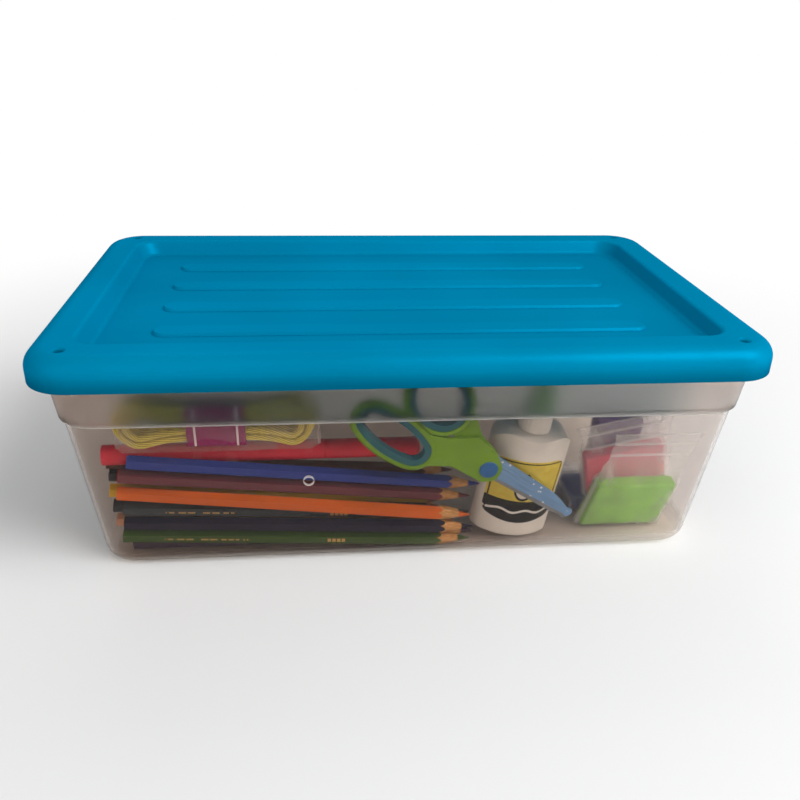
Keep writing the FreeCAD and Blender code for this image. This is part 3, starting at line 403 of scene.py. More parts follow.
def pencil_finish(colour):
    """Paint on the hexagon, wood on the cone, and the printed rows of dashes."""
    paint = Finish("paint_" + colour, Specular_IOR_Level=0.15, Coat_Roughness=0.2)
    where = paint.place(stick_axes("pencil_casing_" + colour, "pencil_lead_" + colour))
    x, y, z = paint.axes(where)
    radius = (x * x + y * y).root()
    cone = TIP_RADIUS + (PENCIL_LENGTH - z) * ((PENCIL_RADIUS - TIP_RADIUS) / POINT_LENGTH)
    bare = radius > POINT_FLATNESS * cone
    rings = paint.grain(where, 1.1 * MM, 4, (1, 1, 0.06))
    wood = paint.blend(rings.between(0.35, 0.65), WOOD_PALE, WOOD_DARK)
    wear = paint.grain(where, 9 * MM, 5, (1, 1, 0.2)).between(0.3, 0.8)
    coat = paint.blend(wear, deeper(PAINTS[colour], 0.82), ink(PAINTS[colour]))
    for start, end, step, tall in PRINTED.get(colour, ()):
        cell = (z / (step * MM)).floor()
        chance = paint.node("ShaderNodeTexWhiteNoise", {"noise_dimensions": "1D"}, {"W": cell})
        inside = (z > start * MM) * (z < end * MM) * (abs(x) < tall * MM) * (y < 0)
        filled = (z / (step * MM) - cell) < PRINT_FILL
        coat = paint.blend(inside * filled * (chance > PRINT_SKIP), coat, FOIL)
    paint.feed("Base Color", paint.blend(bare, coat, wood))
    paint.feed("Roughness", 0.28 + 0.4 * bare + 0.1 * wear)
    paint.feed("Coat Weight", 0.12 - 0.12 * bare)
    paint.bump(rings, 0.05 * MM, 0.3)
    return paint


def lead_finish(colour):
    """Waxy core of the paint's own colour."""
    lead = Finish("lead_" + colour, Specular_IOR_Level=0.2)
    streak = lead.grain(lead.place(), 0.7 * MM, 3)
    dark = deeper(PAINTS[colour], 0.6)
    lead.feed("Base Color", lead.blend(streak.between(0.3, 0.7), dark, ink(PAINTS[colour])))
    lead.feed("Roughness", 0.5 + 0.2 * streak)
    lead.bump(streak, 0.06 * MM, 0.5)
    return lead


for colour in PAINTS:
    dress(pencil_finish(colour), "pencil_casing_" + colour)
    dress(lead_finish(colour), "pencil_lead_" + colour)
print("pencils dressed:", len(PAINTS))

# %% [markdown]
# ## Moulded plastics, felt and rubber
# The marker, the scissors and the glue bottle are everyday mouldings. One function gives a moulded
# skin its tone, a faint texture and slight handling marks, and takes the colour and gloss as inputs.

# %% Moulded finishes
def moulded(name, colour, gloss, texture=0.9, depth=0.03):
    """Injection-moulded plastic; texture and depth are in millimetres."""
    skin = Finish(name, Specular_IOR_Level=0.25)
    where = skin.place()
    marks = skin.grain(where, 14 * MM, 5).between(0.35, 0.8)
    skin.feed("Base Color", skin.blend(marks, ink(colour), deeper(colour, 0.86)))
    skin.feed("Roughness", gloss + 0.12 * marks)
    skin.bump(skin.grain(where, texture * MM, 3), depth * MM, 0.5)
    return skin


def felt(name, colour):
    """Short matted hairs, with painted shade between them where the bump is low."""
    cloth = Finish(name)
    hairs = cloth.grain(cloth.place(), 0.35 * MM, 6)
    # Painted shade: the colour darkens where the hairs' bump is low.
    cloth.feed("Base Color", cloth.blend(hairs, deeper(colour, 0.55), ink(colour)))
    cloth.feed("Roughness", 0.85 + 0.1 * hairs)
    cloth.bump(hairs, 0.2 * MM, 0.8)
    return cloth


dress(moulded("marker_red", "e8324a", 0.22), "marker_barrel", "marker_cap", "marker_plug")
dress(felt("felt", "a01428"), "marker_nib", "marker_core")
dress(moulded("handle_green", "7cac2a", 0.26), "scissors_front_handle", "scissors_back_handle")
dress(moulded("grip_teal", "30707f", 0.5, 0.5, 0.05), "scissors_front_grip", "scissors_back_grip")
dress(moulded("bottle_white", "f1efe9", 0.38), "glue_bottle", "glue_collar")
dress(moulded("cap_green", "5cb43a", 0.3), "glue_cap")
dress(moulded("rivet_blue", "2a6fb4", 0.25), "scissors_rivet")
print("mouldings dressed")

# %% [markdown]
# ## The blades
# The two blades are drawn in axes of their own: X from the rivet to the tip, and Z out of the wall.
# Grinding leaves fine lines along a blade, so its noise is stretched along X. The front blade has a blue
# coat with small pale specks, and the back one is bare.

# %% Blade finishes
pivot = joints["scissors_pivot"]
WALL_OUT = Vector(pivot["axis"]).normalized()
ALONG = Vector((1, 0, 0))
UP_WALL = WALL_OUT.cross(ALONG)
SCISSORS_TURN = math.radians(-35.0)
SPECK_SPACING, SPECK_PATCH, SPECK_SIZE = 3.2 * MM, 9.0 * MM, 0.2


def in_wall(turn, place):
    """Axes that lie in the front wall, turned in its plane: X along, Y up, Z out to the front."""
    x = ALONG * math.cos(turn) + UP_WALL * math.sin(turn)
    return axes_matrix(x, WALL_OUT.cross(x), WALL_OUT, place)


scissors_axes = in_wall(SCISSORS_TURN, Vector(pivot["pos_m"]))


def blade_finish(name, colour, speckles):
    """Ground steel along the blade, and specks of a printed coat where speckles is 1."""
    steel = Finish(name, Metallic=0.75 - 0.45 * speckles)
    where = steel.place(scissors_axes)
    ground = steel.grain(where, 0.5 * MM, 3, (0.03, 1, 1))
    cells = steel.node("ShaderNodeTexVoronoi", None, {"Vector": where, "Scale": 1 / SPECK_SPACING})
    patch = steel.grain(where, SPECK_PATCH, 2) > 0.47
    specks = (cells < SPECK_SIZE) * patch * speckles
    base = steel.blend(ground.between(0.3, 0.7), deeper(colour, 0.7), ink(colour))
    steel.feed("Base Color", steel.blend(specks, base, ink("eef4f8")))
    steel.feed("Roughness", 0.26 + 0.2 * ground)
    steel.bump(ground, 0.03 * MM, 0.5)
    return steel


dress(blade_finish("blade_blue", "80aede", 1.0), "scissors_front_blade")
dress(blade_finish("blade_steel", "9aa0a6", 0.0), "scissors_back_blade")
print("blades dressed")

# %% [markdown]
# ## The glue label
# The label is printed flat and wrapped round the bottle, so its pattern is drawn in the bottle's own
# axes: X across and Z up. It has a plain design: a yellow field, a black outline, a dark panel below
# with a pale wave, and a white drop.

# %% Label finish
glue_axis = Vector(joints["glue_collar_turn"]["axis"]).normalized()
GLUE_HEIGHT = 63.0 * MM
glue_foot = Vector(joints["glue_collar_turn"]["pos_m"]) - glue_axis * GLUE_HEIGHT
glue_axes = axes_matrix((-WALL_OUT).cross(glue_axis), -WALL_OUT, glue_axis, glue_foot)
LABEL_HALF, LABEL_LOW, LABEL_HIGH, LABEL_BULGE = 18.5 * MM, 10.0 * MM, 49.0 * MM, 4.0 * MM
PANEL_TOP = 24.0 * MM
OUTLINE_NEAR, OUTLINE_FAR = 0.9 * MM, 1.6 * MM
WAVE_SHARE, WAVE_LENGTH, WAVE_RISE, WAVE_HALF = 0.72, 2.2 * MM, 0.9 * MM, 0.7 * MM
DROP_HEIGHT, DROP_RADIUS, DROP_OUTLINE = 33.0 * MM, 4.6 * MM, 1.22
DROP_NARROW, DROP_TALL = 0.62, 0.42


def label_finish():
    """Printed paper: yellow field and drop above, dark panel and wave below."""
    label = Finish("label_paper", Specular_IOR_Level=0.2)
    where = label.place(glue_axes)
    x, _, z = label.axes(where)
    low = LABEL_LOW + (x * x) * (LABEL_BULGE / LABEL_HALF ** 2)
    edge = (LABEL_HALF - abs(x)).smaller(z - low).smaller(LABEL_HIGH - z)
    outline = (edge > OUTLINE_NEAR) * (edge < OUTLINE_FAR)
    panel = z < PANEL_TOP
    wave = z - PANEL_TOP * WAVE_SHARE - WAVE_RISE * (x / WAVE_LENGTH).sine()
    ripple = abs(wave) < WAVE_HALF
    rise = z - DROP_HEIGHT
    taper = 1.0 - DROP_NARROW * (rise / DROP_RADIUS).between(-0.2, 1.9)
    across = x / taper
    reach = (across * across + rise * rise * DROP_TALL).root()
    drop = reach < DROP_RADIUS
    ring = reach < DROP_RADIUS * DROP_OUTLINE
    fleck = label.grain(where, 5 * MM, 4)
    colour = label.blend(fleck.between(0.3, 0.75), ink("ecd858"), ink("dac24a"))
    colour = label.blend(ring, colour, ink("1a1a1c"))
    colour = label.blend(drop, colour, ink("f4f2ea"))
    colour = label.blend(panel, colour, ink("161618"))
    colour = label.blend(panel * ripple, colour, ink("efeee8"))
    colour = label.blend(outline, colour, ink("161618"))
    label.feed("Base Color", colour)
    label.feed("Roughness", 0.4 + 0.15 * fleck)
    label.bump(label.grain(where, 0.6 * MM, 2), 0.02 * MM, 0.4)
    return label


dress(label_finish(), "glue_label")
print("label dressed")

# %% [markdown]
# ## The floss
# A skein of floss is one long thread, wound to and fro and held by a paper band. The thread's route is
# worked out run by run: each run crosses under the band, rounds the end and comes back a step further
# in, and the next layer starts where the last one ends. The few points of each run and turn are the
# control points of one smooth spline.

# %% Floss route
HANK_LENGTH, HANK_STRAND = 95.0 * MM, 3.0 * MM
HANK_LAYERS, HANK_RUNS = 4, 5
HANK_STEP, HANK_LAYER_STEP = 3.8 * MM, 3.7 * MM
HANK_INNER, HANK_DRAW = 5.0 * MM, 4.0 * MM
WAIST = 22.0 * MM
THREAD_STEP = 1.0 * MM
CHAMFER = math.tan(math.pi / 8)
HANK_OUTER = HANK_INNER + (HANK_RUNS - 1) * HANK_STEP / 2


def middle_of(node):
    """Middle of a node's box."""
    low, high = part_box(node)
    return (low + high) / 2


hank_axes = in_wall(0, middle_of("floss_band"))


def run_heights():
    """Height of each run from the hank's middle, layer by layer."""
    inward = [HANK_OUTER - i * HANK_STEP / 2 for i in range(HANK_RUNS)]
    heights = list(inward)
    for layer in range(1, HANK_LAYERS):
        heights += (inward[::-1] if layer % 2 else inward)[1:]
    return heights


def turn_points(last, begin):
    """Points round a turn, from the end of one run to the start of the next."""
    middle, radius = (last + begin) / 2, abs(last.y - begin.y) / 2
    out, up = math.copysign(radius, last.x), math.copysign(radius, last.y)
    corners = ((CHAMFER, 1), (1, CHAMFER), (1, -CHAMFER), (CHAMFER, -1))
    return [middle + Vector((out * a, up * b, 0)) for a, b in corners]


def hank_route():
    """Points of the thread's spline: four on each run and four round each turn."""
    heights = run_heights()
    lobe = HANK_LENGTH / 2 - HANK_OUTER - HANK_STRAND / 2
    start_z = -(HANK_LAYERS - 1) * HANK_LAYER_STEP / 2
    points, layer = [], 0
    for i, height in enumerate(heights):
        side = 1 if i % 2 == 0 else -1
        climbs = i % (HANK_RUNS - 1) == 0 and 0 < i < len(heights) - 1
        z0 = start_z + layer * HANK_LAYER_STEP
        layer += 1 if climbs else 0
        z1 = start_z + layer * HANK_LAYER_STEP
        begin = Vector((-side * lobe, side * height, z0))
        finish = Vector((side * lobe, side * height, z1))
        waist = side * (height - HANK_DRAW)
        if points:
            points += turn_points(points[-1], begin)
        points += [begin, Vector((-side * WAIST, waist, z0)), Vector((side * WAIST, waist, z1)), finish]
    return [hank_axes @ p for p in points]


def smooth_line(name, points):
    """Spline with the route's points as its control points, without thickness."""
    curve = bpy.data.curves.new(name, "CURVE")
    curve.dimensions = "3D"
    curve.resolution_u = 3
    spline = curve.splines.new("NURBS")
    spline.points.add(len(points) - 1)
    for point, place in zip(spline.points, points):
        point.co = (*place, 1.0)
    spline.order_u = 3
    spline.use_endpoint_u = True
    return bpy.data.objects.new(name, curve)


def even_points(points, spacing):
    """Points along a line at even steps."""
    spread, left = [points[0].copy()], spacing
    for a, b in zip(points, points[1:]):
        length = (b - a).length
        while left <= length:
            spread.append(a.lerp(b, left / length))
            left += spacing
        left -= length
    return spread + [points[-1].copy()]


def plain_mesh(piece):
    """Mesh of what an object looks like with its modifiers."""
    bpy.context.view_layer.update()
    return bpy.data.meshes.new_from_object(piece.evaluated_get(bpy.context.evaluated_depsgraph_get()))


line = smooth_line("floss_line", hank_route())
bpy.context.scene.collection.objects.link(line)
thread_path = even_points([v.co.copy() for v in plain_mesh(line).vertices], THREAD_STEP)
thread_length = sum((b - a).length for a, b in zip(thread_path, thread_path[1:]))
print("floss thread:", round(thread_length / MM), "mm")

# %% [markdown]
# ## The thread's plies
# A cross-section with a lobe for each ply is carried along the spline and turned as it goes, which gives
# the twist. The section also carries an attribute that is 1 in the grooves, so that the finish can paint
# shade into them.

# %% Floss thread
PLIES, PLY_DEPTH, TWIST = 8, 0.26, 45.0 * MM
RING_POINTS = 40


def linked(name, mesh):
    """Object of a mesh, in the scene."""
    piece = bpy.data.objects.new(name, mesh)
    bpy.context.scene.collection.objects.link(piece)
    return piece


def smooth_piece(name, mesh, finish):
    """Smooth object of a mesh, with its finish."""
    mesh.polygons.foreach_set("use_smooth", [True] * len(mesh.polygons))
    mesh.materials.append(finish.material)
    return linked(name, mesh)


def new_piece(name, verts, faces, finish):
    """Smooth object of points and faces, at the origin."""
    mesh = bpy.data.meshes.new(name)
    mesh.from_pydata(verts, [], faces)
    mesh.update()
    return smooth_piece(name, mesh, finish)


class Recipe:
    """A Geometry Nodes tree with named inputs, and the same way of adding nodes as a Finish."""

    def __init__(self, name, **sizes):
        self.tree = bpy.data.node_groups.new(name, "GeometryNodeTree")
        self.sizes = {}
        for way in ("INPUT", "OUTPUT"):
            self.tree.interface.new_socket("Geometry", in_out=way, socket_type="NodeSocketGeometry")
        for label, value in sizes.items():
            kind = "NodeSocketInt" if isinstance(value, int) else "NodeSocketFloat"
            socket = self.tree.interface.new_socket(label, in_out="INPUT", socket_type=kind)
            self.sizes[label] = (socket.identifier, value)
        self.start = self.tree.nodes.new("NodeGroupInput")
        self.end = self.tree.nodes.new("NodeGroupOutput")

    put = Finish.put
    node = Finish.node
    axes = Finish.axes

    def size(self, label):
        """Wire of a named input."""
        return Wire(self, self.start.outputs[label])

    def close(self, shape, finish):
        """Realize Instances, Set Material and the output."""
        plain = self.node("GeometryNodeRealizeInstances", None, {0: shape})
        dressed = self.node("GeometryNodeSetMaterial", None,
                            {"Geometry": plain, "Material": finish.material})
        self.put(self.end.inputs[0], dressed)

    def apply(self, piece):
        """Plain mesh of the piece with this recipe; the modifier goes again."""
        modifier = piece.modifiers.new(self.tree.name, "NODES")
        modifier.node_group = self.tree
        for identifier, value in self.sizes.values():
            modifier[identifier] = value
        mesh = plain_mesh(piece)
        piece.modifiers.remove(modifier)
        return mesh


def plied_recipe(finish):
    """A round section with a lobe for each ply, carried along the line and turned as it goes."""
    plied = Recipe("plied_thread", Step=THREAD_STEP, Radius=HANK_STRAND / 2, Depth=PLY_DEPTH,
                   Plies=PLIES, Twist=TWIST)
    even = plied.node("GeometryNodeResampleCurve", {"mode": "LENGTH"},
                      {"Curve": plied.size("Geometry"), "Length": plied.size("Step")})
    along = plied.node("GeometryNodeSplineParameter", output="Length")
    tilt = along * (2 * math.pi) / plied.size("Twist")
    turned = plied.node("GeometryNodeSetCurveTilt", None, {"Curve": even, "Tilt": tilt})
    ring = plied.node("GeometryNodeCurvePrimitiveCircle", None,
                      {"Resolution": RING_POINTS, "Radius": plied.size("Radius")})
    place = plied.node("GeometryNodeInputPosition")
    x, y, _ = plied.axes(place)
    angle = y.maths("ARCTAN2", y, x)
    groove = 0.5 - 0.5 * (angle * plied.size("Plies")).cosine()
    marked = plied.node("GeometryNodeStoreNamedAttribute", None,
                        {"Geometry": ring, "Name": "groove", "Value": groove})
    shrink = 1.0 - plied.size("Depth") * groove
    lobes = plied.node("ShaderNodeVectorMath", {"operation": "SCALE"}, {0: place, "Scale": shrink})
    section = plied.node("GeometryNodeSetPosition", None, {"Geometry": marked, "Position": lobes})
    tube = plied.node("GeometryNodeCurveToMesh", None,
                      {"Curve": turned, "Profile Curve": section, "Fill Caps": True})
    plied.close(plied.node("GeometryNodeSetShadeSmooth", None, {0: tube}), finish)
    return plied


def thread_finish():
    """Soft yellow cotton, with painted shade in the grooves between its plies."""
    thread = Finish("floss_yellow", Specular_IOR_Level=0.15)
    where = thread.place(hank_axes)
    hair = thread.grain(where, 0.6 * MM, 5, (0.35, 1, 1))
    tone = thread.grain(where, 8 * MM, 2)
    pale = thread.blend(tone.between(0.3, 0.7), ink("fff27c"), ink("f4e65a"))
    strand = thread.blend(hair.between(0.2, 0.6), ink("e6d248"), pale)
    groove = thread.node("ShaderNodeAttribute", {"attribute_name": "groove"}, output="Fac")
    # Painted shade: the dark yellow fills the grooves between the plies.
    thread.feed("Base Color", thread.blend(groove.between(0.35, 0.95), strand, ink("a08a22")))
    thread.feed("Roughness", 0.6 + 0.2 * hair)
    thread.bump(hair, 0.15 * MM, 0.7)
    return thread


thread = linked("floss_thread", plied_recipe(thread_finish()).apply(line))
bpy.data.objects.remove(line)
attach(thread, "box")
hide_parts("floss_hank")
print("thread:", len(thread.data.polygons), "faces")

# %% [markdown]
# ## The floss band
# The band is printed paper, magenta with a pale stripe near each edge. A fine noise gives the paper
# its fibres, and the stripes are drawn in the hank's own axes, so that they run square across it.

# %% Floss band
STRIPE_PLACE, STRIPE_HALF = 9.7 * MM, 0.5 * MM


def band_finish():
    """Magenta paper with two stripes."""
    paper = Finish("band_paper", Specular_IOR_Level=0.2)
    where = paper.place(hank_axes)
    x, _, _ = paper.axes(where)
    stripe = abs(abs(x) - STRIPE_PLACE) < STRIPE_HALF
    fibre = paper.grain(where, 1.5 * MM, 5)
    base = paper.blend(fibre.between(0.3, 0.7), ink("a0246c"), ink("8a1c5c"))
    paper.feed("Base Color", paper.blend(stripe, base, ink("efe6ea")))
    paper.feed("Roughness", 0.45 + 0.15 * fibre)
    paper.bump(fibre, 0.03 * MM, 0.4)
    return paper


dress(band_finish(), "floss_band")
print("band dressed")

# %% [markdown]
# ## The clay
# A slab of modelling clay is pressed out of a mould and has soft edges, shallow dents and a waxy,
# slightly uneven skin. It starts as a rounded block of small squares and each point is pushed a little
# along its own direction by a smooth noise.

# %% Clay slabs
CLAY_LENGTH, CLAY_HEIGHT, CLAY_THICK = 43.0 * MM, 26.5 * MM, 9.0 * MM
CLAY_SIZE = Vector((CLAY_LENGTH, CLAY_HEIGHT, CLAY_THICK))
CLAY_SOFT, CLAY_CUTS = 1.3 * MM, 19
DENT_SIZE, DENT_LEVEL, DENT_DEPTH = 9.0 * MM, 0.25 * MM, 0.35 * MM
GREEN_LEAN = 7.0 * MM
PINK_TILT, END_TILT = math.radians(12.0), math.radians(-90.0)
CLAYS = {"green": "8cd238", "blue": "2c4c98", "pink": "ff6080", "purple": "7044a0"}
pack_axes = {"green": in_wall(0, middle_of("clay_green")),
             "pink": in_wall(PINK_TILT, middle_of("clay_pink")),
             "purple": in_wall(END_TILT, middle_of("clay_purple")),
             "blue": Matrix.Translation(middle_of("clay_blue"))}
pack_lean = {"green": GREEN_LEAN, "blue": 0.0, "pink": 0.0, "purple": 0.0}


def clay_finish(colour):
    """Waxy clay with darker smears."""
    clay = Finish("clay_" + colour, Subsurface_Weight=0.12, Subsurface_Scale=2 * MM,
                  Specular_IOR_Level=0.25)
    where = clay.place()
    smear = clay.grain(where, 12 * MM, 4)
    fine = clay.grain(where, 1.4 * MM, 4)
    dark = deeper(CLAYS[colour], 0.72)
    clay.feed("Base Color", clay.blend(smear.between(0.25, 0.7), dark, ink(CLAYS[colour])))
    clay.feed("Roughness", 0.48 + 0.2 * smear)
    clay.bump(fine, 0.25 * MM, 0.7)
    return clay


def clay_slab(colour):
    """Rounded block, pushed sideways by its lean, with soft dents."""
    shape = bmesh.new()
    bmesh.ops.create_cube(shape, size=1.0)
    bmesh.ops.subdivide_edges(shape, edges=shape.edges, cuts=CLAY_CUTS, use_grid_fill=True)
    lean = pack_lean[colour] / CLAY_HEIGHT
    inner = [size / 2 - CLAY_SOFT for size in CLAY_SIZE]
    for vert in shape.verts:
        p = vert.co * CLAY_SIZE
        core = Vector([max(-h, min(h, c)) for c, h in zip(p, inner)])
        off = p - core
        if off.length > 0:
            p = core + off.normalized() * min(off.length, CLAY_SOFT)
        dent = noise.noise(p / DENT_SIZE + Vector((len(colour), 0, 0)))
        p -= p.normalized() * (DENT_LEVEL + DENT_DEPTH * dent)
        vert.co = pack_axes[colour] @ Vector((p.x + lean * p.y, p.y, p.z))
    bmesh.ops.recalc_face_normals(shape, faces=shape.faces)
    mesh = bpy.data.meshes.new("clay_slab_" + colour)
    shape.to_mesh(mesh)
    shape.free()
    slab = smooth_piece("clay_slab_" + colour, mesh, clay_finish(colour))
    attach(slab, "box")
    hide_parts("clay_" + colour)
    return slab


slabs = [clay_slab(colour) for colour in CLAYS]
print("clay slabs:", len(slabs))

# %% [markdown]
# ## The film bags
# A zip bag is two films sealed round three sides. Over the slab they stand apart, beside it they close
# to a flat seam, and the empty top carries two zip ridges. Each film is a grid whose height comes from
# its distance to the slab, with creases from a noise that is stretched along the bag.

# %% Bag film
FILM_GAP, SEAM_WIDTH, FILM_EDGE = 0.55 * MM, 3.0 * MM, 0.12 * MM
ZIP_SPACING, ZIP_WIDTH, ZIP_HEIGHT = 7.0 * MM, 1.6 * MM, 0.5 * MM
FLAPS = {"green": 30.0 * MM, "blue": 18.0 * MM, "pink": 18.0 * MM, "purple": 18.0 * MM}
BAG_COLUMNS, BAG_ROWS = 60, 64
BAG_HAZE = 0.17
FLAP_PULL, FLAP_CLOSE = 0.09, 0.45
CREASE_ACROSS, CREASE_ALONG, CREASE_SWAY = 9.0 * MM, 14.0 * MM, 0.35 * MM
LOOSE_SIDE, LOOSE_TOP, HELD_SHARE = 3.0 * MM, 4.0 * MM, 0.15
SEAM_PLACE, SEAM_HALF, SEAM_MILK = 1.7 * MM, 0.8 * MM, 0.5
ZIP_HALF, ZIP_MILK = 0.7 * MM, 0.8
TOP_HALF, TOP_MILK = 1.2 * MM, 0.6


def step01(t):
    """Soft step from 0 to 1."""
    t = max(0.0, min(1.0, t))
    return t * t * (3 - 2 * t)


def film_finish(name, axes, haze, marks):
    """Clear film: see-through but for its haze, milky in its folds and where marks, of x and y, is 1."""
    film = Finish(name, Base_Color=ink("f4f2f2"), IOR=1.45)
    where = film.place(axes)
    x, y, _ = film.axes(where)
    fold = film.grain(where, 16 * MM, 4, (1, 0.45, 1)).between(0.48, 0.72)
    milky = (0.5 * fold).larger(marks(x, y))
    film.feed("Alpha", haze + 3 * haze * milky)
    film.feed("Roughness", 0.14 + 0.25 * fold)
    film.bump(film.grain(where, 8 * MM, 4, (1, 0.5, 1)), 0.8 * MM, 0.5)
    return film


def line_at(distance, half):
    """1 on a line and soft towards half its width."""
    return 1.0 - abs(distance).between(0.3 * half, half)


def bag_marks(lean, flap):
    """Seams beside the slab, the two zip ridges at the top and the edge above them."""
    def marks(x, y):
        aside = abs(x - (lean / CLAY_HEIGHT) * y) - CLAY_LENGTH / 2
        milk = SEAM_MILK * line_at(aside - SEAM_PLACE, SEAM_HALF)
        top = CLAY_HEIGHT / 2 + flap
        for k in (1, 2):
            milk = milk.larger(ZIP_MILK * line_at(y - (top - k * ZIP_SPACING + ZIP_WIDTH / 2), ZIP_HALF))
        return milk.larger(TOP_MILK * line_at(y - top, TOP_HALF))
    return marks


def film_height(x, y, half, flap):
    """Half the distance between the two films at a point of the bag."""
    beside = max(abs(x) - half.x, 0.0) / SEAM_WIDTH
    above = max(y - half.y, 0.0) / (FLAP_CLOSE * flap)
    below = max(-y - half.y, 0.0) / (2 * FILM_GAP)
    open_share = (1 - step01(beside)) * (1 - step01(above)) * (1 - step01(below))
    height = FILM_EDGE + (half.z + FILM_GAP - FILM_EDGE) * open_share
    for k in (1, 2):
        ridge = abs(y - (half.y + flap - k * ZIP_SPACING + ZIP_WIDTH / 2)) / ZIP_WIDTH
        height += ZIP_HEIGHT * (1 - step01(ridge)) * (1 - step01(beside * 1.5))
    return height


def film_sway(x, y, half, sign, seed):
    """Crease of a film: slight over the slab and free beside and above it."""
    crease = noise.noise(Vector((x / CREASE_ACROSS, y / CREASE_ALONG, sign * 3 + seed)))
    loose = step01((abs(x) - half.x + LOOSE_SIDE) / LOOSE_SIDE) + step01((y - half.y) / LOOSE_TOP)
    return CREASE_SWAY * crease * min(1.0, HELD_SHARE + loose)


def flap_width(up):
    """Share of its width that the empty top keeps: drawn in, with small waves along its sides."""
    return 1 - FLAP_PULL * (math.sin(math.pi * up) + 0.5 * math.sin(math.pi * up * 3) ** 2)


def film_bag(colour):
    """Two films, a grid each, joined round their rim."""
    half = CLAY_SIZE / 2
    flap = FLAPS[colour]
    slope = pack_lean[colour] / CLAY_HEIGHT
    wide, low, high = half.x + SEAM_WIDTH, -half.y - FILM_GAP, half.y + flap
    verts, faces = [], []
    for sign in (1, -1):
        for j in range(BAG_ROWS + 1):
            y = low + (high - low) * j / BAG_ROWS
            drawn = flap_width(max(0.0, (y - half.y) / flap))
            for i in range(BAG_COLUMNS + 1):
                x = wide * (2 * i / BAG_COLUMNS - 1)
                z = sign * FILM_EDGE
                if 0 < i < BAG_COLUMNS and 0 < j < BAG_ROWS:
                    z = sign * film_height(x, y, half, flap) + film_sway(x, y, half, sign, len(colour))
                verts.append(pack_axes[colour] @ Vector((x * drawn + slope * y, y, z)))
    row, layer = BAG_COLUMNS + 1, (BAG_COLUMNS + 1) * (BAG_ROWS + 1)
    for j in range(BAG_ROWS):
        for i in range(BAG_COLUMNS):
            a = j * row + i
            b = a + layer
            faces.append((a, a + 1, a + 1 + row, a + row))
            faces.append((b + row, b + 1 + row, b + 1, b))
    rim = list(range(row))
    rim += [j * row + BAG_COLUMNS for j in range(1, BAG_ROWS + 1)]
    rim += [BAG_ROWS * row + i for i in reversed(range(BAG_COLUMNS))]
    rim += [j * row for j in reversed(range(1, BAG_ROWS))]
    for a, b in zip(rim, rim[1:] + rim[:1]):
        faces.append((b, a, a + layer, b + layer))
    marks = bag_marks(pack_lean[colour], flap)
    finish = film_finish("film_" + colour, pack_axes[colour], BAG_HAZE, marks)
    bag = new_piece("film_bag_" + colour, verts, faces, finish)
    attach(bag, "box")
    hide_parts("clay_bag_" + colour)
    return bag


bags = [film_bag(colour) for colour in CLAYS]
print("film bags:", len(bags))

# %% [markdown]
# ## The floss bag
# The bag round the floss is a loose clear sleeve, folded shut at its ends. It is swept as a rounded
# section along the hank, with shallow wrinkles from a smooth noise.

# %% Floss bag
POUCH_LENGTH, POUCH_HIGH, POUCH_DEEP = 96.4 * MM, 31.4 * MM, 16.0 * MM
POUCH_HAZE = 0.08
POUCH_RINGS, POUCH_POINTS = 60, 72
POUCH_FOLD, POUCH_CLOSE, POUCH_SQUARE = 0.1, 0.9, 0.42
POUCH_WRINKLE, POUCH_SHRINK, POUCH_SEAM = 10.0 * MM, 0.02, 1.5 * MM


def pouch_point(along, turn):
    """Point of the sleeve: a rounded section that narrows to a fold at the ends."""
    x = POUCH_LENGTH / 2 * along
    near_end = step01((abs(along) - 1 + POUCH_FOLD) / POUCH_FOLD)
    high, deep = POUCH_HIGH / 2, POUCH_DEEP / 2 * (1 - POUCH_CLOSE * near_end)
    c, s = math.cos(turn), math.sin(turn)
    y = high * math.copysign(abs(s) ** POUCH_SQUARE, s)
    z = deep * math.copysign(abs(c) ** POUCH_SQUARE, c)
    wrinkle = noise.noise(Vector((x / POUCH_WRINKLE, c * 2, s * 2)))
    shrink = 1 - POUCH_SHRINK * (1 + wrinkle)
    return Vector((x, y * shrink, z * shrink))


def pouch_seams(x, y):
    """1 at the folded ends."""
    return abs(x) > POUCH_LENGTH / 2 - POUCH_SEAM


def floss_pouch():
    """Rings of points along the sleeve, closed at both ends."""
    verts, faces = [], []
    for i in range(POUCH_RINGS + 1):
        for k in range(POUCH_POINTS):
            turn = 2 * math.pi * (k + 0.5) / POUCH_POINTS
            verts.append(hank_axes @ pouch_point(2 * i / POUCH_RINGS - 1, turn))
    for i in range(POUCH_RINGS):
        for k in range(POUCH_POINTS):
            a, b = i * POUCH_POINTS + k, i * POUCH_POINTS + (k + 1) % POUCH_POINTS
            faces.append((a, a + POUCH_POINTS, b + POUCH_POINTS, b))
    faces.append(tuple(range(POUCH_POINTS)))
    faces.append(tuple(range(len(verts) - POUCH_POINTS, len(verts)))[::-1])
    finish = film_finish("film_floss", hank_axes, POUCH_HAZE, pouch_seams)
    pouch = new_piece("floss_pouch", verts, faces, finish)
    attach(pouch, "box")
    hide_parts("floss_bag")
    return pouch


pouch = floss_pouch()
print("floss pouch:", len(pouch.data.polygons), "faces")

# %% [markdown]
# ## Floor and light
# The floor is a pale sheet that keeps a soft shadow. The key lamp stands to the right, as in the
# photograph, with weaker ones on the left, at the right end and behind. The world is white to the
# camera but dimmer as a light, so that a colour renders about as it is written.

# %% Stage and lamps
FLOOR_HALF, FLOOR_LEVEL = 4.0, -0.3 * MM
FADE_START, FADE_END = 0.22, 0.6
LAMP_AIM = Vector((0, 0, 0.05))
AMBIENT = 0.38
LAMPS = {"key": ((1.0, -0.7, 1.3), 1.0, 21.8),
         "fill": ((-1.2, -1.0, 0.8), 1.4, 5.0),
         "side": ((0.7, -0.3, 0.3), 0.4, 0.8),
         "back": ((-0.2, 1.3, 1.1), 1.2, 4.5)}


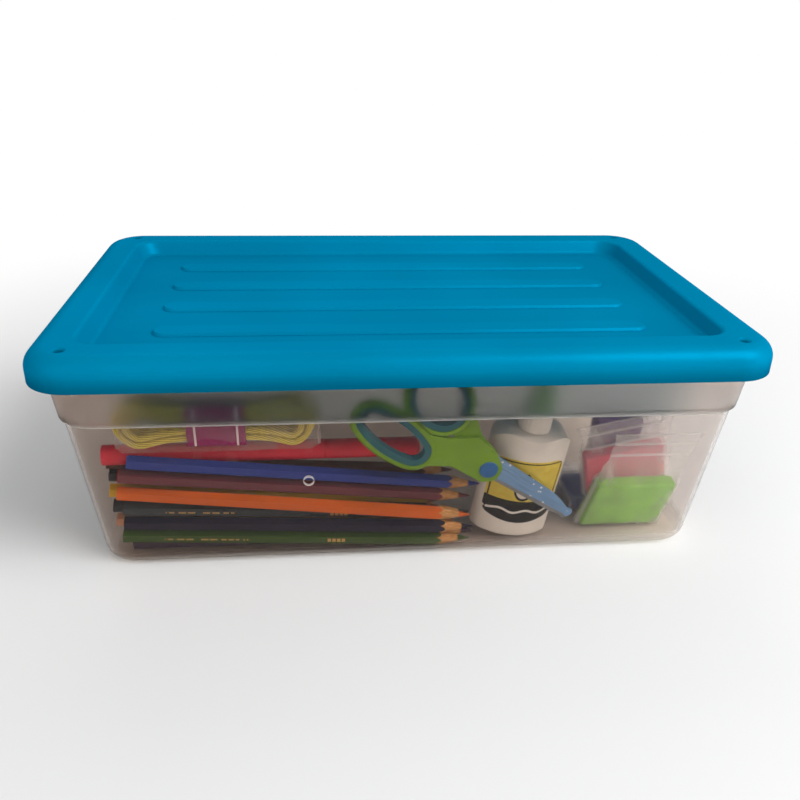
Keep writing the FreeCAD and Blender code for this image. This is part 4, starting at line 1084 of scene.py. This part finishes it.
def floor_finish():
    """Pale sheet that keeps the shadow near the box and fades to the white of the background."""
    pale = Finish("floor_pale", Base_Color=(0.87, 0.87, 0.87, 1), Roughness=0.9, Specular_IOR_Level=0.0)
    x, y, _ = pale.axes(pale.place())
    far = (x * x + y * y).root().between(FADE_START, FADE_END)
    white = pale.node("ShaderNodeEmission", None, {"Color": (1, 1, 1, 1), "Strength": 1.0})
    share = pale.node("ShaderNodeLightPath", output="Is Camera Ray") * far
    mixed = pale.node("ShaderNodeMixShader", None,
                      {0: share, 1: Wire(pale, pale.shader.outputs[0]), 2: white})
    pale.put(pale.tree.nodes["Material Output"].inputs["Surface"], mixed)
    return pale


corners = [(a * FLOOR_HALF, b * FLOOR_HALF, FLOOR_LEVEL)
           for a, b in ((-1, -1), (1, -1), (1, 1), (-1, 1))]
floor = new_piece("floor", corners, [(0, 1, 2, 3)], floor_finish())


def white_world():
    """World that is white to the camera and dimmer as a light."""
    world = bpy.data.worlds.new("studio")
    bpy.context.scene.world = world
    world.use_nodes = True
    tree = world.node_tree
    strength = tree.nodes.new("ShaderNodeMapRange")
    strength.inputs["To Min"].default_value = AMBIENT
    rays = tree.nodes.new("ShaderNodeLightPath")
    tree.links.new(rays.outputs["Is Camera Ray"], strength.inputs["Value"])
    shade = tree.nodes["Background"]
    shade.inputs["Color"].default_value = (1, 1, 1, 1)
    tree.links.new(strength.outputs[0], shade.inputs["Strength"])


def lamp(name, place, size, power):
    """Square lamp at a place, turned to the box."""
    data = bpy.data.lights.new(name, "AREA")
    data.shape = "SQUARE"
    data.size = size
    data.energy = power
    made = bpy.data.objects.new(name, data)
    made.location = place
    made.rotation_euler = (LAMP_AIM - Vector(place)).to_track_quat("-Z", "Y").to_euler()
    bpy.context.scene.collection.objects.link(made)


white_world()
for name, settings in LAMPS.items():
    lamp(name, *settings)
print("lamps:", ", ".join(LAMPS))

# %% [markdown]
# ## The last update
# The view layer is brought up to date once more.

# %% Finish
bpy.context.view_layer.update()
